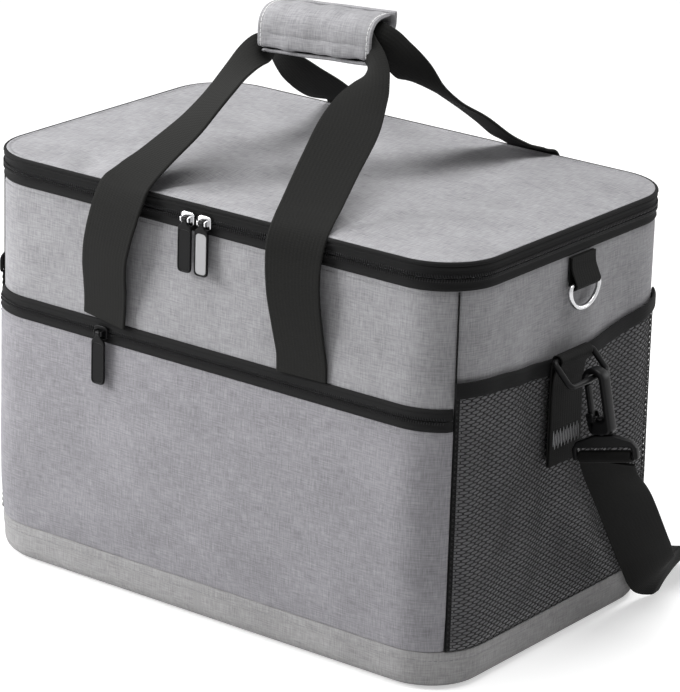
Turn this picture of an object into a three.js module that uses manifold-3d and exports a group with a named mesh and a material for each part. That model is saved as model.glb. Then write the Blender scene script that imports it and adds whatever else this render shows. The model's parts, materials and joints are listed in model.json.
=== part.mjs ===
// Insulated cooler bag with a zipped lid, a front pocket, two net side pockets,
// two webbing carry handles joined by a wrap grip, and a clip-on shoulder strap.
// Millimetres, +Z up, front at -Y, origin in the middle of the base on the floor.
import * as THREE from 'three';
import Module from 'manifold-3d';

const wasm = await Module();
wasm.setup();
const { Manifold, Mesh } = wasm;

// Body
const BODY_W = 400;
const BODY_D = 255;
const CORNER_R = 42;
const CLOTH_T = 1.6;
const GAP = 0.4;
const BASE_EDGE_R = 10;
const BASE_RIM_H = 27;
const PANEL_TOP = 272;
const CORNER_STEPS = 3;

// Wall layers, measured inward from the outer face
const FOAM_OUT = CLOTH_T + GAP;
const FOAM_T = 6;
const FOAM_IN = FOAM_OUT + FOAM_T;
const LINER_OUT = FOAM_IN + GAP;
const LINER_T = 1;
const LINER_IN = LINER_OUT + LINER_T;
const BOARD_T = 2.5;
const BASE_FOAM_T = 6;

// Lid zip, from the body tape up to the lid panel
const TAPE_T = 1.2;
const BEAD_T = 2.4;
const BEAD_H = 2.2;
const TAPE_LOW = PANEL_TOP + GAP;
const CHAIN_RISE = 8.7;
const CHAIN_Z = PANEL_TOP + CHAIN_RISE;
const CHAIN_SLIT = 1.4;
const TAPE_RISE = 7.9;
const TAPE_HIGH = CHAIN_Z + TAPE_RISE;
const LID_EDGE = TAPE_HIGH + GAP;
const LID_CROWN = 3.2;
const LID_FOAM_T = 12;
const LID_INSET = 5;

// Front pocket
const POCKET_OUT = 2.8;
const POCKET_T = 1.4;
const POCKET_TAPE_T = 1;
const POCKET_BEAD_T = 1.8;
const POCKET_ZIP_LOW = 179.4;
const POCKET_ZIP_H = 14.4;
const POCKET_ZIP_HIGH = POCKET_ZIP_LOW + POCKET_ZIP_H;
const POCKET_CHAIN_Z = (POCKET_ZIP_LOW + POCKET_ZIP_HIGH) / 2;

// Net side pockets
const NET_FOOT = BASE_RIM_H + 4;
const NET_TOP = 208;
const NET_SAG = 8;
const NET_T = 1.2;
const NET_OFF = 1.4;
const BINDING_OFF = 1;
const NET_STRAND = 2.4;
const NET_COLUMNS = 11;
const NET_ROWS = 8;
const BINDING_H = 11;
const BINDING_T = 2.6;
const BINDING_STEPS = 24;

// Carry handles
const WEB_W = 40;
const WEB_T = 2;
const HANDLE_X = 83;
const TAIL_LOW = POCKET_ZIP_HIGH + GAP;
const TAIL_L = 26.8;
const FOLD_Z = TAIL_LOW + TAIL_L;
const STAND_OFF = 12.5;
const BEND_RISE = 5;
const BEND_Z = LID_EDGE + BEND_RISE;
const GRIP_Y = -10;
const GRIP_RISE = 97;
const GRIP_Z = BEND_Z + GRIP_RISE;
const GRIP_L = 100;
const RUN_W = 20;
const RUN_T = 4.6;
const RUN_PITCH = 7.4;
const RUN_CLEAR = 0.7;
const WRAP_T = 4.8;
const WRAP_H = 33;
const FLAP_T = 3.6;
const STRIP_T = 0.8;

// Zip sliders and pullers
const SLIDER_L = 11;
const SLIDER_H = 9.4;
const SLIDER_PLATE = 2;
const PULLER_W = 11;
const PULLER_L = 36;
const PULLER_T = 2;
const EYE_R = 2;
const PIN_R = 0.7;
const LID_SLIDER_LEFT_X = -15;
const LID_SLIDER_RIGHT_X = -1;
const POCKET_SLIDER_X = -86;

// Strap anchors, rings and clips
const STRAP_W = 38;
const STRAP_T = 1.8;
const ANCHOR_Y = -9;
const ANCHOR_L = 75;
const ANCHOR_T = 3.4;
const ANCHOR_W = 36;
const ANCHOR_X = BODY_W / 2 + 4;
const RING_X = ANCHOR_X + 5.6;
const RING_Z = NET_TOP;
const ANCHOR_LOW = RING_Z - ANCHOR_L;
const RING_W = 43.4;
const RING_H = 19.5;
const RING_R = 2.1;
const RING_TILT = 45;
const HOOK_TILT = 12.5;
const HOOK_SHIFT = 7;
const SWIVEL_TURN = 8;
const HOOK_T = 9;
const BOW_IN = 4.6;
const BOW_OUT = 8.8;
const SHANK_L = 27;
const BLOCK_H = 9;
const GATE_T = 3;
const STEM_R = 2.4;
const FRAME_W = 47;
const FRAME_H = 17;
const FRAME_T = 5.4;
const BAR_R = 2.2;

// D-ring
const TAB_W = 28;
const TAB_Y = 8;
const TAB_T = 3.2;
const TAB_DROP = 19;
const TAB_Z = PANEL_TOP - TAB_DROP;
const D_RING_W = 33;
const D_RING_H = 17.5;
const D_RING_R = 1.7;

const GREY = 0xa9a9ac;
const BLACK = 0x2b2b2b;
const FOAM = 0xe8e6df;
const SILVER = 0xd5d7da;
const CHROME = 0xc4c6c8;
const PLASTIC = 0x1e1e20;

const group = new THREE.Group();
group.name = 'cooler_bag';

const rad = THREE.MathUtils.degToRad;
const v3 = (x, y, z) => new THREE.Vector3(x, y, z);
const front = (inset) => -BODY_D / 2 + inset;

function signedVolume(points, faces) {
  let sum = 0;
  for (const [a, b, c] of faces) {
    sum += points[a].dot(new THREE.Vector3().crossVectors(points[b], points[c]));
  }
  return sum / 6;
}

function solid(points, faces) {
  const out = signedVolume(points, faces) < 0;
  const geometry = new THREE.BufferGeometry();
  const flat = points.flatMap((p) => [p.x, p.y, p.z]);
  geometry.setAttribute('position', new THREE.Float32BufferAttribute(flat, 3));
  geometry.setIndex(faces.flatMap(([a, b, c]) => (out ? [a, c, b] : [a, b, c])));
  return geometry;
}

// Rings of equal point counts, joined in order. Ends are capped unless the run closes on itself.
function loft(rings, closed = false, section = null) {
  const size = rings[0].length;
  const points = rings.flat();
  const faces = [];
  const last = closed ? rings.length : rings.length - 1;
  for (let i = 0; i < last; i += 1) {
    const here = i * size;
    const next = ((i + 1) % rings.length) * size;
    for (let j = 0; j < size; j += 1) {
      const k = (j + 1) % size;
      faces.push([here + j, here + k, next + k], [here + j, next + k, next + j]);
    }
  }
  if (!closed) {
    const end = (rings.length - 1) * size;
    let cap;
    if (section) {
      cap = THREE.ShapeUtils.triangulateShape(section, []);
    } else {
      cap = [];
      for (let j = 1; j < size - 1; j += 1) cap.push([0, j, j + 1]);
    }
    const ccw = section ? !THREE.ShapeUtils.isClockWise(section) : true;
    for (const [a, b, c] of cap) {
      if (ccw) {
        faces.push([a, c, b], [end + a, end + b, end + c]);
      } else {
        faces.push([a, b, c], [end + a, end + c, end + b]);
      }
    }
  }
  return solid(points, faces);
}

// A rounded outline as places with outward normals, from corner arcs [corner, from, to] in degrees.
const CORNERS = { fl: [-1, -1], fr: [1, -1], br: [1, 1], bl: [-1, 1] };
const ALL_ROUND = [['fl', 180, 270], ['fr', 270, 360], ['br', 0, 90], ['bl', 90, 180]];

function outline(arcs, inset = 0, steps = CORNER_STEPS) {
  const places = [];
  for (const [name, from, to] of arcs) {
    const [sx, sy] = CORNERS[name];
    const r = Math.max(CORNER_R - inset, 4);
    const cx = sx * (BODY_W / 2 - inset - r);
    const cy = sy * (BODY_D / 2 - inset - r);
    const count = Math.max(1, Math.round((steps * Math.abs(to - from)) / 45));
    for (let i = 0; i <= count; i += 1) {
      const a = rad(from + ((to - from) * i) / count);
      const n = new THREE.Vector2(Math.cos(a), Math.sin(a));
      places.push({ p: new THREE.Vector2(cx + r * n.x, cy + r * n.y), n });
    }
  }
  return places;
}

// A profile of [inset, height] pairs carried along an outline.
function wall(arcs, profile, closed = false) {
  const rings = outline(arcs).map(({ p, n }) => (
    profile.map(([inset, z]) => v3(p.x - n.x * inset, p.y - n.y * inset, z))
  ));
  const section = profile.map(([inset, z]) => new THREE.Vector2(inset, z));
  return loft(rings, closed, section);
}

// Rounded outlines at [inset, height] levels, joined into one capped body.
function stack(levels) {
  return loft(levels.map(([inset, z]) => (
    outline(ALL_ROUND, inset).map(({ p }) => v3(p.x, p.y, z))
  )));
}

function slab(inset, low, high) {
  return stack([[inset, low], [inset, high]]);
}

// A band with a flat section along stations { at, across, width, thick }.
function ribbon(stations) {
  const rings = stations.map((s, i) => {
    const before = stations[Math.max(i - 1, 0)].at;
    const after = stations[Math.min(i + 1, stations.length - 1)].at;
    const along = new THREE.Vector3().subVectors(after, before).normalize();
    const across = s.across.clone().addScaledVector(along, -along.dot(s.across)).normalize();
    const up = new THREE.Vector3().crossVectors(along, across);
    const corner = (a, b) => s.at.clone()
      .addScaledVector(across, (a * s.width) / 2)
      .addScaledVector(up, (b * s.thick) / 2);
    return [corner(-1, -1), corner(1, -1), corner(1, 1), corner(-1, 1)];
  });
  return loft(rings);
}

// Control rows [x, y, z, ax, ay, az, width, thick] spread along a smooth line.
function stationsFrom(rows, count) {
  const places = new THREE.CatmullRomCurve3(rows.map((r) => v3(r[0], r[1], r[2])), false, 'centripetal');
  const stations = [];
  for (let i = 0; i <= count; i += 1) {
    const t = (i / count) * (rows.length - 1);
    const k = Math.min(Math.floor(t), rows.length - 2);
    const f = t - k;
    const mix = (n) => rows[k][n] * (1 - f) + rows[k + 1][n] * f;
    stations.push({
      at: places.getPoint(i / count),
      across: v3(mix(3), mix(4), mix(5)).normalize(),
      width: mix(6),
      thick: mix(7),
    });
  }
  return stations;
}

// Stations followed by their mirror image in the plane x = 0, in reverse order.
function bothSides(stations) {
  const other = stations.map((s) => ({
    ...s,
    at: v3(-s.at.x, s.at.y, s.at.z),
    across: v3(-s.across.x, s.across.y, s.across.z),
  }));
  return [...stations, ...other.reverse()];
}

// A round rod closed on itself, along flat points.
function hoop(points, radius, sides = 8) {
  const rings = points.map((p, i) => {
    const before = points[(i + points.length - 1) % points.length];
    const after = points[(i + 1) % points.length];
    const along = new THREE.Vector2().subVectors(after, before).normalize();
    const ring = [];
    for (let j = 0; j < sides; j += 1) {
      const a = ((j + 0.5) / sides) * Math.PI * 2;
      const out = radius * Math.cos(a);
      ring.push(v3(p.x + along.y * out, radius * Math.sin(a), p.y - along.x * out));
    }
    return ring;
  });
  return loft(rings, true);
}

function extrude(shape, depth, curveSegments = 8) {
  return new THREE.ExtrudeGeometry(shape, { depth, bevelEnabled: false, curveSegments });
}

function shapeFrom(points) {
  return new THREE.Shape(points.map(([x, y]) => new THREE.Vector2(x, y)));
}

// Solid boolean steps
function toManifold(geometry) {
  const position = geometry.attributes.position;
  const seen = new Map();
  const coords = [];
  const remap = [];
  for (let i = 0; i < position.count; i += 1) {
    const xyz = [position.getX(i), position.getY(i), position.getZ(i)];
    const key = xyz.map((c) => Math.round(c * 1e4)).join(',');
    if (!seen.has(key)) {
      seen.set(key, seen.size);
      coords.push(...xyz);
    }
    remap.push(seen.get(key));
  }
  const order = geometry.index ? Array.from(geometry.index.array) : remap.map((_, i) => i);
  const verts = [];
  for (let i = 0; i < order.length; i += 3) {
    const [a, b, c] = [remap[order[i]], remap[order[i + 1]], remap[order[i + 2]]];
    if (a !== b && b !== c && a !== c) verts.push(a, b, c);
  }
  return new Manifold(new Mesh({
    numProp: 3,
    vertProperties: new Float32Array(coords),
    triVerts: new Uint32Array(verts),
  }));
}

function fromManifold(manifold) {
  const mesh = manifold.getMesh();
  const geometry = new THREE.BufferGeometry();
  const stride = mesh.numProp;
  const flat = [];
  for (let i = 0; i < mesh.vertProperties.length; i += stride) {
    flat.push(mesh.vertProperties[i], mesh.vertProperties[i + 1], mesh.vertProperties[i + 2]);
  }
  geometry.setAttribute('position', new THREE.Float32BufferAttribute(flat, 3));
  geometry.setIndex(Array.from(mesh.triVerts));
  return geometry;
}

function joined(added, taken = []) {
  const whole = Manifold.union(added.map(toManifold));
  return fromManifold(taken.length ? whole.subtract(Manifold.union(taken.map(toManifold))) : whole);
}

function block(x0, x1, y0, y1, z0, z1) {
  const geometry = new THREE.BoxGeometry(x1 - x0, y1 - y0, z1 - z0);
  geometry.translate((x0 + x1) / 2, (y0 + y1) / 2, (z0 + z1) / 2);
  return geometry;
}

// A round bar along X, Y or Z between two ends.
function bar(axis, radius, from, to, at, sides = 12) {
  const geometry = new THREE.CylinderGeometry(radius, radius, to - from, sides);
  if (axis === 'x') geometry.rotateZ(Math.PI / 2);
  if (axis === 'z') geometry.rotateX(Math.PI / 2);
  const middle = (from + to) / 2;
  if (axis === 'x') geometry.translate(middle, at[0], at[1]);
  if (axis === 'y') geometry.translate(at[0], middle, at[1]);
  if (axis === 'z') geometry.translate(at[0], at[1], middle);
  return geometry;
}

function add(name, geometry, colour, roughness = 0.9, metalness = 0) {
  const mesh = new THREE.Mesh(
    geometry,
    new THREE.MeshStandardMaterial({ color: colour, roughness, metalness }),
  );
  mesh.name = name;
  group.add(mesh);
}

function mirrored(geometry) {
  const copy = geometry.clone();
  copy.scale(-1, 1, 1);
  const index = copy.index ? Array.from(copy.index.array)
    : Array.from({ length: copy.attributes.position.count }, (_, i) => i);
  for (let i = 0; i < index.length; i += 3) {
    [index[i + 1], index[i + 2]] = [index[i + 2], index[i + 1]];
  }
  copy.setIndex(index);
  return copy;
}

// Outer panels, which meet at seams in the middle of each corner
const SEAM = (GAP / CORNER_R) * (90 / Math.PI);
const RUNS = {
  front: [['fl', 225 + SEAM, 270], ['fr', 270, 315 - SEAM]],
  right: [['fr', 315 + SEAM, 360], ['br', 0, 45 - SEAM]],
  back: [['br', 45 + SEAM, 90], ['bl', 90, 135 - SEAM]],
  left: [['bl', 135 + SEAM, 180], ['fl', 180, 225 - SEAM]],
  zip: [['bl', 135 + SEAM, 180], ['fl', 180, 270], ['fr', 270, 360], ['br', 0, 45 - SEAM]],
};
const panelProfile = (low, high) => [[0, low], [CLOTH_T, low], [CLOTH_T, high], [0, high]];
const RIM_TOP = BASE_RIM_H;

add('front_panel', wall(RUNS.front, panelProfile(RIM_TOP + GAP, PANEL_TOP)), GREY);
add('right_side_panel', wall(RUNS.right, panelProfile(RIM_TOP + GAP, PANEL_TOP)), GREY);
add('left_side_panel', wall(RUNS.left, panelProfile(RIM_TOP + GAP, PANEL_TOP)), GREY);
add('back_panel', wall(RUNS.back, panelProfile(RIM_TOP + GAP, CHAIN_Z - GAP)), GREY);

// Base tray with a rounded foot and an upturned rim
const footOut = [];
const footIn = [];
for (let i = 0; i <= 3; i += 1) {
  const a = (i / 3) * (Math.PI / 2);
  const r = BASE_EDGE_R - CLOTH_T;
  footOut.push([BASE_EDGE_R * (1 - Math.sin(a)), BASE_EDGE_R * (1 - Math.cos(a))]);
  footIn.unshift([BASE_EDGE_R - r * Math.sin(a), BASE_EDGE_R - r * Math.cos(a)]);
}
add('base_tray', stack([...footOut, [0, RIM_TOP], [CLOTH_T, RIM_TOP], ...footIn]), GREY);

const BOARD_LOW = CLOTH_T + GAP;
const BASE_FOAM_LOW = BOARD_LOW + BOARD_T + GAP;
const BASE_FOAM_TOP = BASE_FOAM_LOW + BASE_FOAM_T;
const LINER_LOW = BASE_FOAM_TOP + GAP;
const FLANGE_LOW = PANEL_TOP - 1.6;
add('base_board', slab(BASE_EDGE_R, BOARD_LOW, BOARD_LOW + BOARD_T), BLACK);
add('base_foam', slab(BASE_EDGE_R, BASE_FOAM_LOW, BASE_FOAM_TOP), FOAM);
add('wall_foam', wall(ALL_ROUND, [
  [FOAM_OUT, LINER_LOW], [FOAM_IN, LINER_LOW], [FOAM_IN, FLANGE_LOW - GAP], [FOAM_OUT, FLANGE_LOW - GAP],
], true), FOAM);

const LINER_EDGE = 6;
add('liner_tub', stack([
  [LINER_OUT + LINER_EDGE, LINER_LOW],
  [LINER_OUT, LINER_LOW + LINER_EDGE],
  [LINER_OUT, FLANGE_LOW],
  [FOAM_OUT, FLANGE_LOW],
  [FOAM_OUT, FLANGE_LOW + LINER_T],
  [LINER_IN, FLANGE_LOW + LINER_T],
  [LINER_IN, LINER_LOW + LINER_EDGE + LINER_T / 2],
  [LINER_IN + LINER_EDGE - LINER_T / 2, LINER_LOW + LINER_T],
]), SILVER, 0.45);

// Lid zip: each tape carries its row of teeth as a bead along the open edge
const BEAD_OUT = (TAPE_T - BEAD_T) / 2;
const LOW_BEAD = CHAIN_Z - CHAIN_SLIT / 2;
const HIGH_BEAD = CHAIN_Z + CHAIN_SLIT / 2;
add('body_zip_tape', wall(RUNS.zip, [
  [0, TAPE_LOW], [TAPE_T, TAPE_LOW], [TAPE_T, LOW_BEAD - BEAD_H],
  [BEAD_OUT + BEAD_T, LOW_BEAD - BEAD_H], [BEAD_OUT + BEAD_T, LOW_BEAD],
  [BEAD_OUT, LOW_BEAD], [BEAD_OUT, LOW_BEAD - BEAD_H], [0, LOW_BEAD - BEAD_H],
]), BLACK);
add('lid_zip_tape', wall(RUNS.zip, [
  [0, HIGH_BEAD + BEAD_H], [BEAD_OUT, HIGH_BEAD + BEAD_H], [BEAD_OUT, HIGH_BEAD],
  [BEAD_OUT + BEAD_T, HIGH_BEAD], [BEAD_OUT + BEAD_T, HIGH_BEAD + BEAD_H],
  [TAPE_T, HIGH_BEAD + BEAD_H], [TAPE_T, TAPE_HIGH], [0, TAPE_HIGH],
]), BLACK);
add('lid_hinge_strip', wall(RUNS.back, panelProfile(CHAIN_Z + GAP, TAPE_HIGH)), GREY);

// Lid
const LID_TOP = LID_EDGE + CLOTH_T;
add('lid_panel', stack([
  [64, LID_EDGE + LID_CROWN], [22, LID_EDGE + LID_CROWN * 0.6], [CLOTH_T, LID_EDGE], [0, LID_EDGE],
  [0, LID_EDGE + CLOTH_T * 0.6], [1, LID_TOP], [22, LID_TOP + LID_CROWN * 0.6], [64, LID_TOP + LID_CROWN],
]), GREY);
const LID_FOAM_LOW = TAPE_HIGH - LID_FOAM_T;
add('lid_foam', slab(LID_INSET, LID_FOAM_LOW, TAPE_HIGH), FOAM);
add('lid_liner', slab(LID_INSET, LID_FOAM_LOW - GAP - LINER_T, LID_FOAM_LOW - GAP), SILVER, 0.45);

// Front pocket, sewn in at the base seam and fuller towards its zip
const POCKET_IN = POCKET_OUT - POCKET_T;
const POCKET_LOW = RIM_TOP + GAP;
const POCKET_SLACK = 0.9;
add('pocket_panel', wall(RUNS.front, [
  [-POCKET_OUT + POCKET_SLACK, POCKET_LOW], [-POCKET_IN + POCKET_SLACK, POCKET_LOW],
  [-POCKET_IN, POCKET_LOW + 34], [-POCKET_IN, POCKET_ZIP_LOW - GAP],
  [-POCKET_OUT, POCKET_ZIP_LOW - GAP], [-POCKET_OUT, POCKET_LOW + 34],
]), GREY);
const pocketBeadOut = -POCKET_OUT - GAP;
const pocketBeadIn = pocketBeadOut + POCKET_BEAD_T;
const pocketTapeIn = -POCKET_OUT + POCKET_TAPE_T;
const POCKET_LOW_BEAD = POCKET_CHAIN_Z - CHAIN_SLIT / 2;
const POCKET_HIGH_BEAD = POCKET_CHAIN_Z + CHAIN_SLIT / 2;
add('pocket_zip_tape_low', wall(RUNS.front, [
  [-POCKET_OUT, POCKET_ZIP_LOW], [pocketTapeIn, POCKET_ZIP_LOW], [pocketTapeIn, POCKET_LOW_BEAD - BEAD_H],
  [pocketBeadIn, POCKET_LOW_BEAD - BEAD_H], [pocketBeadIn, POCKET_LOW_BEAD],
  [pocketBeadOut, POCKET_LOW_BEAD], [pocketBeadOut, POCKET_LOW_BEAD - BEAD_H],
  [-POCKET_OUT, POCKET_LOW_BEAD - BEAD_H],
]), BLACK);
add('pocket_zip_tape_high', wall(RUNS.front, [
  [-POCKET_OUT, POCKET_HIGH_BEAD + BEAD_H], [pocketBeadOut, POCKET_HIGH_BEAD + BEAD_H],
  [pocketBeadOut, POCKET_HIGH_BEAD], [pocketBeadIn, POCKET_HIGH_BEAD],
  [pocketBeadIn, POCKET_HIGH_BEAD + BEAD_H], [pocketTapeIn, POCKET_HIGH_BEAD + BEAD_H],
  [-GAP, POCKET_ZIP_HIGH], [-GAP - POCKET_TAPE_T, POCKET_ZIP_HIGH],
]), BLACK);

// Net side pockets: square gaps between strands, wrapped on the side of the body
const sideLine = outline(RUNS.right);
const sideLengths = [0];
for (let i = 1; i < sideLine.length; i += 1) {
  sideLengths.push(sideLengths[i - 1] + sideLine[i].p.distanceTo(sideLine[i - 1].p));
}
const SIDE_LENGTH = sideLengths[sideLengths.length - 1];

function onSide(s, off, z) {
  let k = 0;
  while (k < sideLengths.length - 2 && sideLengths[k + 1] < s) k += 1;
  const f = (s - sideLengths[k]) / (sideLengths[k + 1] - sideLengths[k]);
  const p = sideLine[k].p.clone().lerp(sideLine[k + 1].p, f);
  const n = sideLine[k].n.clone().lerp(sideLine[k + 1].n, f).normalize();
  return v3(p.x + n.x * off, p.y + n.y * off, z);
}

const sag = (s) => NET_SAG * Math.sin((Math.PI * s) / SIDE_LENGTH) ** 2;

function netPocket() {
  const columns = [];
  const rows = [];
  for (let i = 0; i <= NET_COLUMNS; i += 1) {
    const at = ((SIDE_LENGTH - NET_STRAND) * i) / NET_COLUMNS;
    columns.push(at, at + NET_STRAND);
  }
  for (let j = 0; j <= NET_ROWS; j += 1) {
    rows.push(j / NET_ROWS, j / NET_ROWS);
  }
  const height = (s) => NET_TOP - sag(s) - NET_FOOT - NET_STRAND;
  const points = [];
  const faces = [];
  const index = (i, j, side) => (i * rows.length + j) * 2 + side;
  for (let i = 0; i < columns.length; i += 1) {
    for (let j = 0; j < rows.length; j += 1) {
      const z = NET_FOOT + height(columns[i]) * rows[j] + (j % 2) * NET_STRAND;
      points.push(onSide(columns[i], NET_OFF, z), onSide(columns[i], NET_OFF + NET_T, z));
    }
  }
  const filled = (i, j) => {
    const inside = i >= 0 && j >= 0 && i < columns.length - 1 && j < rows.length - 1;
    return inside && !(i % 2 === 1 && j % 2 === 1);
  };
  const quad = (a, b, c, d) => faces.push([a, b, c], [a, c, d]);
  for (let i = 0; i < columns.length - 1; i += 1) {
    for (let j = 0; j < rows.length - 1; j += 1) {
      if (filled(i, j)) {
        quad(index(i, j, 1), index(i + 1, j, 1), index(i + 1, j + 1, 1), index(i, j + 1, 1));
        quad(index(i, j, 0), index(i, j + 1, 0), index(i + 1, j + 1, 0), index(i + 1, j, 0));
        if (!filled(i - 1, j)) quad(index(i, j, 0), index(i, j, 1), index(i, j + 1, 1), index(i, j + 1, 0));
        if (!filled(i + 1, j)) {
          quad(index(i + 1, j, 1), index(i + 1, j, 0), index(i + 1, j + 1, 0), index(i + 1, j + 1, 1));
        }
        if (!filled(i, j - 1)) quad(index(i, j, 1), index(i, j, 0), index(i + 1, j, 0), index(i + 1, j, 1));
        if (!filled(i, j + 1)) {
          quad(index(i, j + 1, 0), index(i, j + 1, 1), index(i + 1, j + 1, 1), index(i + 1, j + 1, 0));
        }
      }
    }
  }
  return solid(points, faces);
}

function netBinding() {
  const rings = [];
  for (let i = 0; i <= BINDING_STEPS; i += 1) {
    const s = (SIDE_LENGTH * i) / BINDING_STEPS;
    const low = NET_TOP - sag(s) + GAP;
    rings.push([
      onSide(s, BINDING_OFF, low), onSide(s, BINDING_OFF + BINDING_T, low),
      onSide(s, BINDING_OFF + BINDING_T, low + BINDING_H), onSide(s, BINDING_OFF, low + BINDING_H),
    ]);
  }
  return loft(rings);
}

const net = netPocket();
const binding = netBinding();
add('right_net', net, BLACK);
add('right_net_binding', binding, BLACK);
add('left_net', mirrored(net), BLACK);
add('left_net_binding', mirrored(binding), BLACK);

// Carry handles. side is -1 for the front handle and 1 for the rear one.
const WEB_FACE = BODY_D / 2 + GAP + WEB_T / 2;
const standOff = [[0, 0], [0.12, 3.2], [0.4, 8.6], [0.7, STAND_OFF - 0.8], [1, STAND_OFF]];

function handleTail(x, side) {
  return block(
    x - WEB_W / 2, x + WEB_W / 2,
    side * WEB_FACE - WEB_T / 2, side * WEB_FACE + WEB_T / 2,
    TAIL_LOW + GAP, FOLD_Z - GAP / 2,
  );
}

function handleLeg(x, side) {
  const foot = FOLD_Z + GAP / 2;
  const rows = standOff.map(([f, off]) => [
    x, side * (WEB_FACE + off), foot + (BEND_Z - foot) * f, 1, 0, 0, WEB_W, WEB_T,
  ]);
  return ribbon(stationsFrom(rows, 12));
}

function handleLoop(side) {
  const y = side * (WEB_FACE + STAND_OFF);
  const run = GRIP_Y + (side * RUN_PITCH) / 2;
  const half = GRIP_L / 2;
  const reach = (f) => y + (run - y) * f;
  const leg = [
    [-HANDLE_X, y - side * 0.5, BEND_Z + 1.2, 1, 0, 0, WEB_W, WEB_T],
    [-HANDLE_X, reach(0.06), BEND_Z + 8, 1, 0, 0, WEB_W, WEB_T],
    [-HANDLE_X + 9, reach(0.36), BEND_Z + 38, 1, 0.05 * side, 0, WEB_W - 4, WEB_T + 0.4],
    [-half - 25, reach(0.7), GRIP_Z - 27, 0.85, 0.3 * side, 0.2, RUN_W + 9, WEB_T + 1.2],
    [-half - 13, run + side * 10, GRIP_Z - 8, 0.4, 0.5 * side, 0.75, RUN_W + 2, RUN_T - 0.6],
    [-half - 3, run + side * 0.6, GRIP_Z - 0.6, 0, 0, 1, RUN_W, RUN_T],
    [-half + 12, run, GRIP_Z, 0, 0, 1, RUN_W, RUN_T],
  ];
  return ribbon(bothSides(stationsFrom(leg, 18)));
}

for (const [name, side] of [['front', -1], ['rear', 1]]) {
  add(`${name}_handle_tail_left`, handleTail(-HANDLE_X, side), BLACK);
  add(`${name}_handle_tail_right`, handleTail(HANDLE_X, side), BLACK);
  add(`${name}_handle_leg_left`, handleLeg(-HANDLE_X, side), BLACK);
  add(`${name}_handle_leg_right`, handleLeg(HANDLE_X, side), BLACK);
  add(`${name}_handle_loop`, handleLoop(side), BLACK);
}

// Wrap grip: a padded channel open at the back, closed by an L-shaped flap
const WRAP_IN = RUN_PITCH / 2 + RUN_T / 2 + RUN_CLEAR;
const WRAP_FRONT = GRIP_Y - WRAP_IN - WRAP_T;
const WRAP_BACK = GRIP_Y + WRAP_IN + 4;
const WRAP_TOP = GRIP_Z + WRAP_H / 2;
const WRAP_LOW = GRIP_Z - WRAP_H / 2;
const ROUND = 6;

function along(shapePoints, length) {
  // a profile of [y, z] pairs carried along X
  const geometry = extrude(shapeFrom(shapePoints), length);
  geometry.translate(0, 0, -length / 2);
  const turn = new THREE.Matrix4().makeBasis(v3(0, 1, 0), v3(0, 0, 1), v3(1, 0, 0));
  geometry.applyMatrix4(turn);
  return geometry;
}

function corner(cy, cz, r, from, to, steps = 3) {
  const places = [];
  for (let i = 0; i <= steps; i += 1) {
    const a = rad(from + ((to - from) * i) / steps);
    places.push([cy + r * Math.cos(a), cz + r * Math.sin(a)]);
  }
  return places;
}

add('grip_cover', along([
  [WRAP_BACK, WRAP_TOP],
  ...corner(WRAP_FRONT + ROUND, WRAP_TOP - ROUND, ROUND, 90, 180),
  ...corner(WRAP_FRONT + ROUND, WRAP_LOW + ROUND, ROUND, 180, 270),
  [WRAP_BACK, WRAP_LOW], [WRAP_BACK, WRAP_LOW + WRAP_T],
  [WRAP_FRONT + WRAP_T, WRAP_LOW + WRAP_T], [WRAP_FRONT + WRAP_T, WRAP_TOP - WRAP_T],
  [WRAP_BACK, WRAP_TOP - WRAP_T],
], GRIP_L), GREY);

const LOOP_STRIP_LOW = WRAP_LOW - GAP - STRIP_T;
const HOOK_STRIP_LOW = LOOP_STRIP_LOW - GAP - STRIP_T;
const FOOT_TOP = HOOK_STRIP_LOW - GAP;
const FLAP_FACE = WRAP_BACK + GAP;
const FLAP_FOOT = WRAP_FRONT + ROUND + 1;
add('grip_flap', along([
  [FLAP_FACE, WRAP_TOP], [FLAP_FACE, FOOT_TOP], [FLAP_FOOT, FOOT_TOP], [FLAP_FOOT, FOOT_TOP - FLAP_T],
  ...corner(FLAP_FACE + FLAP_T - 4, FOOT_TOP - FLAP_T + 4, 4, 270, 360),
  [FLAP_FACE + FLAP_T, WRAP_TOP - 1.5], [FLAP_FACE + FLAP_T - 1.5, WRAP_TOP],
], GRIP_L - 4), GREY);
add('grip_loop_strip', block(
  -GRIP_L / 2 + 4, GRIP_L / 2 - 4, FLAP_FOOT + 1, WRAP_BACK - 1, LOOP_STRIP_LOW, LOOP_STRIP_LOW + STRIP_T,
), BLACK);
add('grip_hook_strip', block(
  -GRIP_L / 2 + 4, GRIP_L / 2 - 4, FLAP_FOOT + 1, WRAP_BACK - 1, HOOK_STRIP_LOW, HOOK_STRIP_LOW + STRIP_T,
), BLACK);

// Zip sliders: two plates joined through the slit between the rows of teeth, with a pinned puller
function zipSlider(x, chainZ, beadOut, beadIn, innerPlate) {
  const out = front(beadOut - 0.3);
  const inner = front(beadIn + 0.3);
  const low = chainZ - SLIDER_H / 2;
  const high = chainZ + SLIDER_H / 2;
  const pinY = out - SLIDER_PLATE - 0.3 - EYE_R;
  const half = SLIDER_L / 2;
  return joined([
    block(x - half, x + half, out - SLIDER_PLATE, out, low, high),
    block(x - half, x + half, inner, inner + innerPlate, low, high),
    block(x - half + 1, x + half - 1, out - 0.5, inner + 0.2, chainZ - 0.4, chainZ + 0.4),
    block(x - 3.7, x - 2.4, pinY - 1.2, out - 0.5, chainZ - 1.6, chainZ + 1.6),
    block(x + 2.4, x + 3.7, pinY - 1.2, out - 0.5, chainZ - 1.6, chainZ + 1.6),
    bar('x', PIN_R, x - 3, x + 3, [pinY, chainZ]),
  ]);
}

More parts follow.
